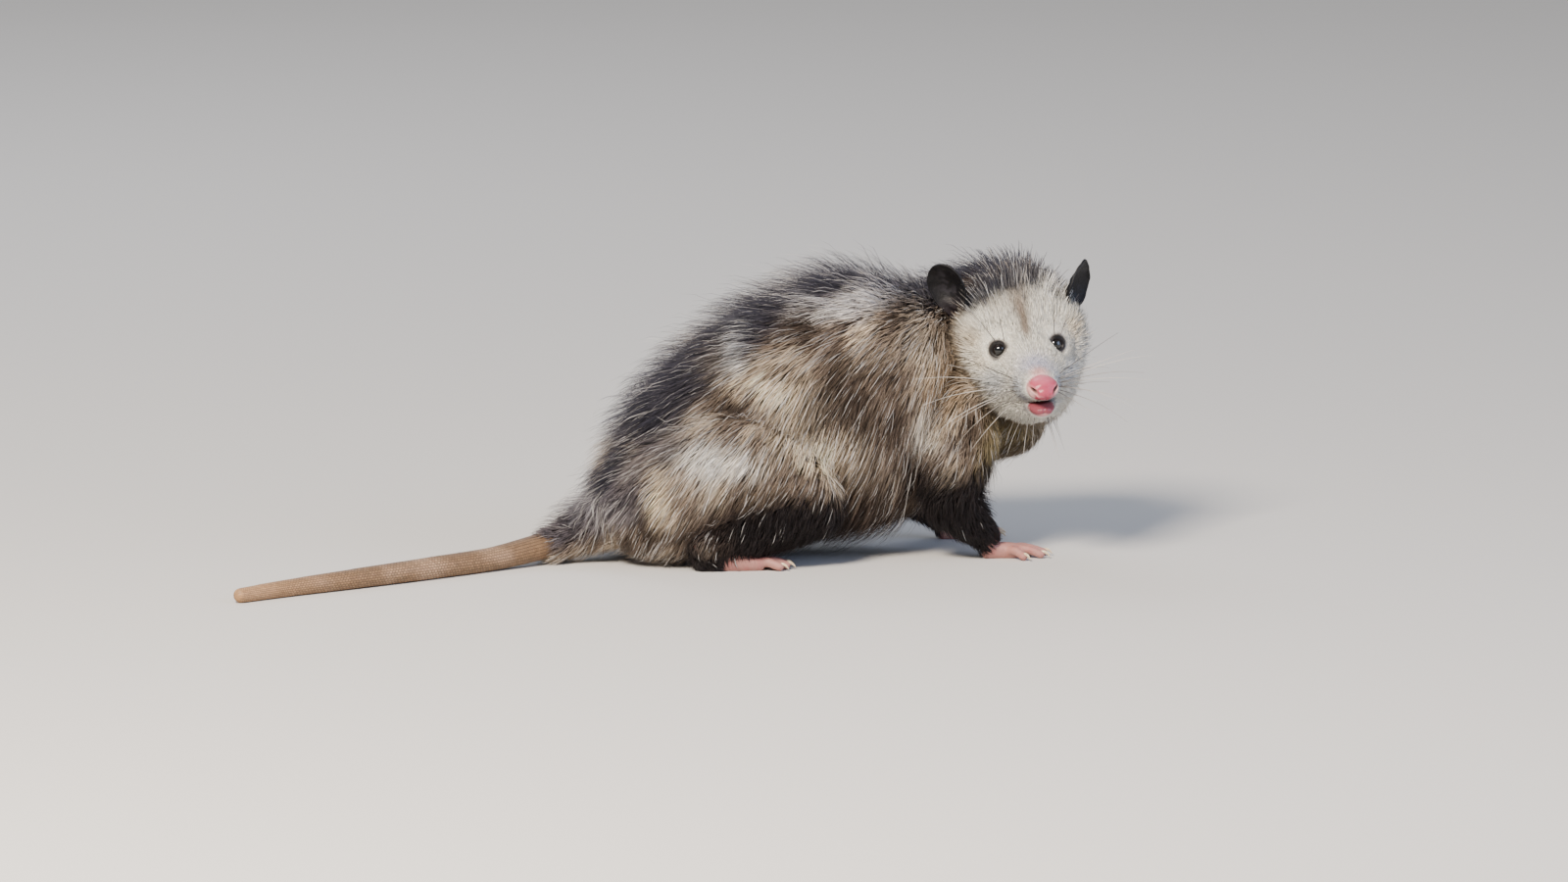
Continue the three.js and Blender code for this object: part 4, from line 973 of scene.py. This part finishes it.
# Bare skin without hair: satin, with a fine leathery grain that breaks up the light
ear_skin = new_material("thin_dark_ear_skin")
tree = ear_skin.node_tree
colour = node(tree, "ShaderNodeAttribute", {"attribute_name": "ear_colour"})
spot = node(tree, "ShaderNodeTexCoord")
grain = node(
    tree, "ShaderNodeTexNoise", Vector=spot.outputs["Object"], Scale=1 / EAR_GRAIN, Detail=5.0,
    Roughness=0.65,
)
bump = node(tree, "ShaderNodeBump", Strength=0.7, Distance=0.0009, Height=grain.outputs["Fac"])
shader = node(
    tree, "ShaderNodeBsdfPrincipled", Base_Color=colour.outputs["Color"], Roughness=0.5,
    Specular_IOR_Level=0.3, Normal=bump.outputs[0],
)
node(tree, "ShaderNodeOutputMaterial", Surface=shader.outputs[0])
for label, side, ear_foot, face_out, point in EARS:
    turn = (
        Matrix.Rotation(side * math.radians(face_out), 3, "Z")
        @ Matrix.Rotation(-side * EAR_LEAN_OUT, 3, "X")
        @ Matrix.Rotation(EAR_LEAN_AHEAD, 3, "Y")
    )
    shares = (np.arange(EAR_RINGS) + 1) / EAR_RINGS
    angles = np.arange(EAR_SECTORS) * 2 * np.pi / EAR_SECTORS - np.pi
    share, angle = (grid.ravel() for grid in np.meshgrid(shares, angles, indexing="ij"))
    points, faces = [], []
    for lift in (-EAR_THICKNESS / 2, EAR_THICKNESS / 2):
        start = len(points)
        points += list(ear_leaf(share, angle, lift * (1 - 0.45 * share), point))
        points.append(ear_leaf(np.array([0.0]), np.array([0.0]), lift, point)[0])
        centre = len(points) - 1
        for i in range(EAR_RINGS - 1):
            for j in range(EAR_SECTORS):
                k = (j + 1) % EAR_SECTORS
                a, b = start + i * EAR_SECTORS, start + (i + 1) * EAR_SECTORS
                faces.append((a + j, b + j, b + k, a + k) if lift > 0 else (a + j, a + k, b + k, b + j))
        for j in range(EAR_SECTORS):
            k = (j + 1) % EAR_SECTORS
            faces.append((centre, start + j, start + k) if lift > 0 else (centre, start + k, start + j))
    rim_behind = (EAR_RINGS - 1) * EAR_SECTORS
    rim_ahead = EAR_RINGS * EAR_SECTORS + 1 + rim_behind
    for j in range(EAR_SECTORS):
        k = (j + 1) % EAR_SECTORS
        faces.append((rim_behind + j, rim_behind + k, rim_ahead + k, rim_ahead + j))
    local = np.array(points)
    tone = np.concatenate([share, [0.0]])
    low = np.concatenate([-np.sin(angle), [0.0]]) * tone
    ear_colour = np.tile(linear("0b0b0f"), (2 * len(tone), 1))
    ear_colour = painted(ear_colour, "32292e", np.tile(0.55 * smoothstep(0.35, 0.95, low), 2))
    # Grey flecks inside the ear: the crumpled skin's own mottling and painted sheen on its folds
    inner = np.concatenate([np.zeros(len(tone)), np.exp(-((tone - 0.4) / 0.35) ** 2)])
    flecks_and_sheen = smoothstep(0.05, 0.6, value_noise(local, 5, 41) + 0.4 * value_noise(local, 2.2, 42))
    ear_colour = painted(ear_colour, "3a383f", 0.45 * inner * flecks_and_sheen)
    ear_place = local @ np.array(turn).T + ear_foot
    ear = new_object(f"ear_cup_{label}", metres(from_head(ear_place)), faces)
    give(ear.data, "ear_colour", ear_colour)
    ear.data.materials.append(ear_skin)
    ear.data.shade_smooth()
    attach(ear, "root")
    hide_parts(f"ear_{label}")


# Claws
#
# Slender hooks of cream horn, slightly see-through, one on each digit but the thumb of a hind foot. Each
# grows out of the tip of its toe.
CLAW_NAMES = {"hand": ("i", "ii", "iii", "iv", "v"), "foot": ("v", "iv", "iii", "ii")}
CLAW_STREAK = 1.5 * MILLIMETRE
# Horn: smooth, with light in its edges and faint tan streaks
horn = new_material("cream_claw_horn")
tree = horn.node_tree
spot = node(tree, "ShaderNodeTexCoord")
streaks = node(tree, "ShaderNodeTexNoise", Vector=spot.outputs["Object"], Scale=1 / CLAW_STREAK, Detail=3.0)
tone = node(
    tree, "ShaderNodeMix", {"data_type": "RGBA"}, _0=streaks.outputs["Fac"], _6=rgba("a98a5c"),
    _7=rgba("efe3c8"),
)
shader = node(
    tree, "ShaderNodeBsdfPrincipled", Base_Color=tone.outputs[2], Roughness=0.3, IOR=1.54,
    Subsurface_Weight=0.2, Subsurface_Radius=(0.8, 0.6, 0.4), Subsurface_Scale=0.001,
)
node(tree, "ShaderNodeOutputMaterial", Surface=shader.outputs[0])
for name, kind_of_foot, place, bearing, side in FEET:
    points, faces = [], []
    turn = np.array(Matrix.Rotation(math.radians(bearing), 3, "Z"))
    part = name.split("_")[0]
    for toe in kind_of_foot["toes"][:len(CLAW_NAMES[part])]:
        r, length = kind_of_foot["radius"], toe[1]
        tip = CLAW_LENGTH * 0.8
        # how far beyond the end of the toe, height and radius
        hook = [
            (-1.6, r + 1.2, 1.7), (tip * 0.3, r + 1.7, 1.35), (tip * 0.7, r + 0.5, 0.95),
            (tip, r - 1.8, 0.35),
        ]
        line = [
            on_toe(kind_of_foot, toe, side, (length + beyond) / length, height, radius, 0.75)
            for beyond, height, radius in hook
        ]
        claw_points, claw_faces = Limb("claw", line, turn=turn, shift=place).tube(lambda t: 0 * t, 16, 16)
        faces += [tuple(i + len(points) for i in face) for face in claw_faces]
        points += [tuple(p) for p in claw_points]
    claws = new_object(f"claws_{name}", metres(points), faces)
    claws.data.materials.append(horn)
    claws.data.shade_smooth()
    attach(claws, "root")
    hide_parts(*[f"claw_{name}_{digit}" for digit in CLAW_NAMES[part]])


# Coat
#
# Two kinds of hair grow over the body: a dense woolly under-fur, and long coarse guard hairs that stand
# out through it. Each tuft here is a slim closed blade of several hairs. It follows the lie of the coat.
DOWN = np.array([0.0, 0.0, -1.0])
# How the hair of each part runs: so much along the part's own line (towards its end), forward and down
LIE = {
    "jaw": (-1.0, 0, 0.25), "upper": (1.0, -0.35, 0), "forearm": (0.8, -0.25, 0.35),
    "thigh": (-0.25, -0.4, 0.9), "shank": (0.5, 0, 0.8), "tail": (1.0, 0, 0), "hand": (1.0, 0, 0.1),
    "foot": (0.9, 0, 0.4),
}


def lie_of(limb, mine):
    t, angle = hide_t[mine], hide_angle[mine]
    _, ahead, _, _ = limb.frame(t)
    ahead = ahead @ limb.turn.T
    across = np.sin(angle)[:, None]
    if limb.kind == "trunk":
        slope = np.radians(np.interp(across, [-1, -0.75, -0.2, 0.5, 1], [15, 62, 58, 40, 10]))
        slope = slope * np.interp(places[mine, 0], [-165, -110], [0.5, 1])[:, None]
        return -ahead * np.cos(slope) + DOWN * np.sin(slope)
    if limb.kind in ("skull", "lip", "nose"):
        slope = np.radians(np.interp(across, [-1, -0.5, 0.2, 1], [10, 32, 18, 0]))
        return -ahead * np.cos(slope) + DOWN * np.sin(slope)
    onward, forward, downward = LIE[limb.kind]
    return ahead * onward + np.array([forward, 0, 0]) + DOWN * downward


def flattened(vectors, normals):
    return unit(vectors - (vectors * normals).sum(1, keepdims=True) * normals)


lie = np.zeros((len(places), 3))
depth = np.zeros(len(places))
for number, limb in enumerate(limbs):
    mine = owner == number
    if mine.any():
        lie[mine] = lie_of(limb, mine)
        depth[mine] = limb.fur(hide_t[mine]) * (1 - hide_level(limb)(hide_t[mine]))
        if limb.kind in ("hand", "foot"):
            depth[mine] = 4.0
        if limb.kind == "tail":
            depth[mine] = np.maximum(depth[mine], 9 * smoothstep(0.22, 0, hide_t[mine]))
lie = flattened(lie, normals)
for _ in range(6):
    lie = flattened(spread(lie, edges, 1.0, 10), normals)
depth = spread(depth, edges, 1.0, 30)
bald = np.clip(is_nose + is_lip + is_paw + is_tail + smoothstep(1.5, 1.34, lid_ring), 0, 1)
furred = np.where(bald > 0.35, 0.0, 1.0)
hairline = np.interp(hz, [10, 25], [-42, -28])
on_face = on_head * smoothstep(-9, 9, hx - hairline)

hide_tree = KDTree(len(places))
for i, place in enumerate(places):
    hide_tree.insert(place, i)
hide_tree.balance()


def roots(rng, weight, count):
    """Random places on the hide, by area and weight: a triangle and a share of each of its corners"""
    a, b, c = (places[triangles[:, k]] for k in range(3))
    area = np.linalg.norm(np.cross(b - a, c - a), axis=1) * weight[triangles].mean(1)
    found = rng.choice(len(triangles), count, p=area / area.sum())
    u, v = rng.random((2, count))
    over = u + v > 1
    u[over], v[over] = 1 - u[over], 1 - v[over]
    return found, np.stack([1 - u - v, u, v], 1)


def at_roots(values, found, shares):
    return (values[triangles[found]] * shares.reshape(*shares.shape, *[1] * (values.ndim - 1))).sum(1)


STRAY = 0.22  # how far single tufts turn from the lie, in radians


def combed(rng, found, shares, length, rise, rings):
    """Points along tufts from root to tip, led over the hide by its lie, rising through the coat's depth

    It also gives the hide's way up at each, the roots, and the vertex of the hide below each tuft's middle.
    """
    root = at_roots(places, found, shares)
    normal = unit(at_roots(normals, found, shares))
    ahead = unit(at_roots(lie, found, shares))
    twist = rng.normal(0, STRAY, len(root))
    twist = twist + 0.25 * value_noise(root, 22, 5) + 0.15 * value_noise(root, 8, 15)
    ahead = ahead * np.cos(twist)[:, None] + np.cross(normal, ahead) * np.sin(twist)[:, None]
    line, ups = [root - normal * 0.8], [normal]
    foot, before = root, 0.0
    middle_ring = len(rings) // 2
    for number, share in enumerate(rings[1:], 1):
        foot = foot + ahead * ((share - before) * length)[:, None]
        before = share
        near = np.array([hide_tree.find(place)[1] for place in foot])
        up = normals[near]
        foot = foot - ((foot - places[near]) * up).sum(1, keepdims=True) * up
        ahead = flattened(ahead * 0.6 + lie[near] * 0.4, up)
        line.append(foot + up * (rise * (1 - (1 - share) ** 1.4))[:, None])
        ups.append(up)
        if number == middle_ring:
            under = near
    return np.stack(line, 1), np.stack(ups, 1), root, under


def clumped(rng, line, root, clump, pull, rings):
    """Draws the tips of tufts together towards one tuft in each small group"""
    guides = rng.choice(len(root), max(8, int(len(root) / clump)), replace=False)
    tree = KDTree(len(guides))
    for i, guide in enumerate(guides):
        tree.insert(root[guide], i)
    tree.balance()
    lead = guides[np.array([tree.find(place)[1] for place in root])]
    amount = pull * rng.uniform(0.2, 1.0, len(root))
    for k, share in enumerate(rings):
        line[:, k] += (line[lead, k] - line[:, k]) * (amount * share**1.6)[:, None]
    return line


def unwrapped(root, nearest):
    """Lays the roots out flat: each limb is unrolled in a band of its own, by length and by angle"""
    owner, t, angle = located(root, nearest)
    flat, low = np.zeros((len(root), 2)), 0.0
    for number in np.unique(owner):
        mine = owner == number
        span = mine.mean()
        start, end = t[mine].min(), t[mine].max()
        flat[mine, 0] = (t[mine] - start) / max(end - start, 1e-6)
        flat[mine, 1] = low + span * (angle[mine] / (2 * np.pi) + 0.5)
        low += span
    return 0.003 + 0.994 * flat


TUFT_PATCH = 0.003
HIGHEST = 259.5  # no hair stands higher over the ground
BLADE = [(-0.5, 0.0), (0.5, 0.0), (0.0, 0.4)]  # the corners of a tuft's section: across and up, in widths


def tufts(name, line, ups, width, rings, colours, flat):
    """One mesh of closed three-sided blades. colours has a colour for each ring and for the tip."""
    count, steps = line.shape[0], line.shape[1] - 1
    line[:, :, 2] = np.clip(line[:, :, 2], 0.9, HIGHEST)
    along = np.gradient(line, axis=1)
    side = unit(np.cross(along, ups))
    over = unit(np.cross(side, along))
    taper = np.interp(rings[:-1], [0, 0.35, 0.8, 1], [0.55, 1, 0.7, 0.3])
    points, shade, spot = [], [], []
    for k in range(steps):
        half = (width * taper[k])[:, None]
        for across, raised in BLADE:
            points.append(line[:, k] + side[:, k] * across * half + over[:, k] * raised * half)
            shade.append(colours[:, k])
            spot.append((across, rings[k] - 0.5))
    points.append(line[:, steps])
    shade.append(colours[:, steps])
    spot.append((0.0, 0.5))
    per = len(points)
    last = 3 * (steps - 1)
    faces = [(2, 1, 0)] + [(last + j, last + (j + 1) % 3, per - 1) for j in range(3)]
    for k in range(steps - 1):
        for j in range(3):
            a, b = 3 * k + j, 3 * k + (j + 1) % 3
            faces += [(a, b, b + 3), (a, b + 3, a + 3)]
    index = (np.arange(count)[:, None, None] * per + np.array(faces)[None]).reshape(-1, 3)
    mesh = bpy.data.meshes.new(name)
    mesh.vertices.add(count * per)
    mesh.vertices.foreach_set("co", metres(np.stack(points, 1).reshape(-1, 3)).astype(np.float32).ravel())
    mesh.loops.add(index.size)
    mesh.loops.foreach_set("vertex_index", index.astype(np.int32).ravel())
    mesh.polygons.add(len(index))
    mesh.polygons.foreach_set("loop_start", np.arange(0, index.size, 3, dtype=np.int32))
    mesh.polygons.foreach_set("use_smooth", np.ones(len(index), bool))
    mesh.update(calc_edges=True)
    give(mesh, "hair_colour", np.stack(shade, 1).reshape(-1, 3))
    uv = (flat[:, None, :] + np.array(spot)[None] * TUFT_PATCH).reshape(-1, 2)[index.ravel()]
    mesh.uv_layers.new(name="OFBake").data.foreach_set("uv", uv.astype(np.float32).ravel())
    made = bpy.data.objects.new(name, mesh)
    bpy.context.scene.collection.objects.link(made)
    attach(made, "root")
    return made


# Hair: a dull satin that lights up only where the light grazes it
hair = new_material("guard_hair_and_under_fur")
tint = node(hair.node_tree, "ShaderNodeAttribute", {"attribute_name": "hair_colour"})
shader = node(
    hair.node_tree, "ShaderNodeBsdfPrincipled", Base_Color=tint.outputs["Color"], Roughness=0.5,
    Specular_IOR_Level=0.22,
)
node(hair.node_tree, "ShaderNodeOutputMaterial", Surface=shader.outputs[0])
PIECE_TRIANGLES = 190000
CLUMP = 14  # tufts that lean together


def grow(label, count, weight, length, rise, width, rings, seed, pull, wild, tints):
    """Grows one kind of hair over the hide, in pieces from the rump to the nose

    Length, rise and weight are numbers for each vertex, and wild is the share of tufts that stick out.
    """
    rng = np.random.default_rng(seed)
    rings = np.array(rings)
    found, shares = roots(rng, weight, count)
    far = at_roots(length, found, shares) * rng.uniform(0.75, 1.2, count)
    high_up = at_roots(rise, found, shares) * rng.uniform(0.6, 1.15, count)
    high_up *= np.where(rng.random(count) < wild, rng.uniform(1.12, 1.5, count), 1)
    line, ups, root, under = combed(rng, found, shares, far, high_up, rings)
    line = clumped(rng, line, root, CLUMP, pull, rings)
    shade = tints(rng, coat_colour[under], rings)
    widths = width * rng.uniform(0.75, 1.25, count)
    nearest = nearest_samples(root)
    order = np.argsort(root[:, 0], kind="stable")
    number = math.ceil(count * (6 * (len(rings) - 2) + 4) / PIECE_TRIANGLES)
    for i, group in enumerate(np.array_split(order, number)):
        flat = unwrapped(root[group], nearest[group])
        made = tufts(f"{label}_{i + 1}", line[group], ups[group], widths[group], rings, shade[group], flat)
        made.data.materials.append(hair)


def wool_tints(rng, colour, rings):
    """Soft under-fur has painted shade between its tufts, darker at the root and lighter towards its tips"""
    tone = 1.15 * rng.uniform(0.7, 1.3, len(colour))
    shades = [tone * (0.45 + 0.75 * share) for share in rings]
    return np.stack([np.minimum(colour * shade[:, None], 0.9) for shade in shades], 1)


def guard_tints(rng, colour, rings):
    """Some guard hairs have long white tips, some are dark to the tip, and the rest match the wool"""
    bright = colour.mean(1)
    draw = rng.random(len(colour))
    pale = draw < np.interp(bright, [0.012, 0.05, 0.3], [0.02, 0.1, 0.36])
    dark = draw > np.interp(bright, [0.01, 0.2, 0.45], [0.75, 0.85, 0.98])
    tip = np.minimum(colour * 1.4, 0.85)
    tip = np.where(pale[:, None], linear("dcdad8"), tip)
    tip = np.where(dark[:, None], colour * 0.3, tip)
    tip = tip * rng.uniform(0.6, 1.15, len(colour))[:, None]
    blend = np.interp(rings, [0, 0.35, 1], [0.0, 0.5, 1.0])
    return np.stack([np.minimum(colour * (1 - b) + tip * b, 0.9) for b in blend], 1)


def face_tints(rng, colour, rings):
    """Short hair, each tuft a little lighter or darker than the next, and darker at its root: painted shade
    between tufts
    """
    tone = rng.uniform(0.7, 1.18, len(colour))
    shades = [tone * (0.72 + 0.4 * share) for share in rings]
    return np.stack([np.minimum(colour * shade[:, None], 0.92) for shade in shades], 1)


# How thickly the hair grows, and where it stands up, falls longer or lies shorter
collar = 4 * on_head * (1 - on_head)  # 1 where the head meets the neck
body = furred * (1 - on_face) * (1 + collar + 0.6 * crown)
face = furred * on_face
stand = 1 + 0.9 * crown + 0.45 * smoothstep(0.55, 0.95, high) * (kind == "trunk")
rump = smoothstep(-115, -160, x) * np.isin(kind, ("trunk", "tail"))
chest = (kind == "trunk") * smoothstep(145, 185, x) * smoothstep(168, 140, z)
tail_hairs = is_tail * np.interp(hide_t, [0.12, 0.3, 0.9], [0.3, 0.05, 0])
# Hair of the flank hangs past the belly
hang = np.isin(kind, ("trunk", "thigh")) * smoothstep(-0.1, -0.7, high)
hang = spread(hang * smoothstep(-62, -30, x) * smoothstep(128, 108, x), edges, 1.0, 20)
# The cheeks are fluffed out, and the turned neck pushes out the hair of the left one further
fluff_starts = np.interp(hz, [-30, -10], [44, 26])
fluff_full = np.interp(hz, [-30, -10], [14, -14])
fluff = on_face * smoothstep(24, 4, hz) * smoothstep(fluff_starts, fluff_full, hx)
fluff *= 1 + 0.6 * smoothstep(0, 20, hy)
# Beside the eyes the hair is very short and lies flat
eye_gap = gap_to_eyes(head)
longest = np.interp(eye_gap, [11, 16, 22, 34], [1.2, 4, 9, 40])
highest = np.interp(eye_gap, [9.5, 15, 20, 32], [0.35, 1.2, 3, 30])
face_length = np.minimum(1.3 * depth + 3 + 11 * fluff, longest)
face_rise = np.minimum(0.6 * depth + 0.4 + 7 * fluff, highest)
depth = depth * (1 - 0.45 * spread(chest, edges, 1.0, 20))
wool_length = (1.1 * depth + 4) * (1 + 0.4 * rump)
guard_length = (1.35 * depth + 4) * (1 + 0.6 * rump) * (1 - 0.5 * crown) + 8 * hang
grow(
    "under_fur", 54000, body, wool_length, 0.72 * depth + 7 * hang, width=1.15, rings=[0, 0.5, 1.0],
    seed=11, pull=0.5, wild=0, tints=wool_tints,
)
grow(
    "guard_hair", 34000, body + tail_hairs, guard_length, 0.95 * depth * stand + 11 * hang, width=0.42,
    rings=[0, 0.4, 0.75, 1.0], seed=12, pull=0.3, wild=0.1, tints=guard_tints,
)
grow(
    "face_hair", 40000, face * (1 + fluff), face_length, face_rise, width=0.5, rings=[0, 0.5, 1.0],
    seed=13, pull=0.35, wild=0.06, tints=face_tints,
)


# Whiskers
#
# Long stiff hairs, dark at the root and pale towards the tip. They spring in rows from the pads beside the
# nose, and others from the brows, the cheeks and under the chin.
WHISKER_ROOT = 0.36
# root in the head's frame (ahead, out, up), then how far it reaches ahead, out and up, its droop and colour
WHISKERS = [
    ((38, 17, -15), 10, 62, 28, 2, "b9b3aa"), ((36, 18, -17), 4, 86, 22, 8, "c9c4bb"),
    ((35, 18, -20), 6, 90, 4, 9, "c9c4bb"), ((38, 17, -22), 12, 66, -12, 8, "b9b3aa"),
    ((40, 15, -25), 14, 50, -30, 6, "b9b3aa"), ((40, 16, -18), 8, 72, 14, 10, "8f8880"),
    ((34, 19, -23), 0, 74, -20, 14, "c9c4bb"), ((42, 14, -21), 16, 46, 10, 4, "6f6862"),
    ((37, 17, -25), 4, 56, -26, 12, "a49d93"), ((30, 20, -14), -6, 60, 34, 2, "2e2826"),
    ((9, 21, 11), -20, 4, 40, 12, "3a3231"), ((5, 27, 9), -24, 22, 34, 8, "3a3231"),
    ((4, 38, -24), -20, 34, -4, 6, "a49d93"), ((36, 8, -48), 6, 8, -34, 4, "c9c4bb"),
    ((28, 12, -50), -4, 12, -30, 4, "c9c4bb"), ((44, 5, -44), 12, 5, -24, 4, "b9b3aa"),
    ((20, 14, -50), -8, 10, -26, 4, "b9b3aa"),
]
# Stiff hair: smoother than the coat, so it catches a thin line of light
bristle = new_material("stiff_whisker_hair")
tint = node(bristle.node_tree, "ShaderNodeAttribute", {"attribute_name": "hair_colour"})
shader = node(
    bristle.node_tree, "ShaderNodeBsdfPrincipled", Base_Color=tint.outputs["Color"], Roughness=0.35,
    IOR=1.55,
)
node(bristle.node_tree, "ShaderNodeOutputMaterial", Surface=shader.outputs[0])
rng = np.random.default_rng(21)
points, faces, shade = [], [], []
for side in (-1, 1):
    for (ahead, out, up), reach_ahead, reach_out, reach_up, droop, code in WHISKERS:
        vary = rng.uniform(0.85, 1.05, 3)
        stations = []
        for share in (0, 0.25, 0.5, 0.75, 1):
            radius = WHISKER_ROOT * (1 - 0.75 * share)
            stations.append((
                ahead + reach_ahead * share * vary[0], side * (out + reach_out * share * vary[1]),
                up + (reach_up * share - droop * share**3) * vary[2], radius, radius, radius,
            ))
        limb = Limb("whisker", stations, up=(1, 0, 0.3), turn=HEAD_ROTATION, shift=HEAD_PLACE)
        hair_points, hair_faces = limb.tube(lambda t: 0 * t, 5, 14)
        faces += [tuple(i + len(points) for i in face) for face in hair_faces]
        points += [tuple(p) for p in hair_points]
        share = np.clip(np.linalg.norm(hair_points - hair_points[0], axis=1) / 30, 0, 1)
        shade.append(painted(np.tile(linear("2b2422"), (len(hair_points), 1)), code, share))
whiskers = new_object("whiskers", metres(points), faces)
give(whiskers.data, "hair_colour", np.concatenate(shade))
whiskers.data.materials.append(bristle)
whiskers.data.shade_smooth()
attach(whiskers, "root")
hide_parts("whisker_pad_right", "whisker_pad_left")
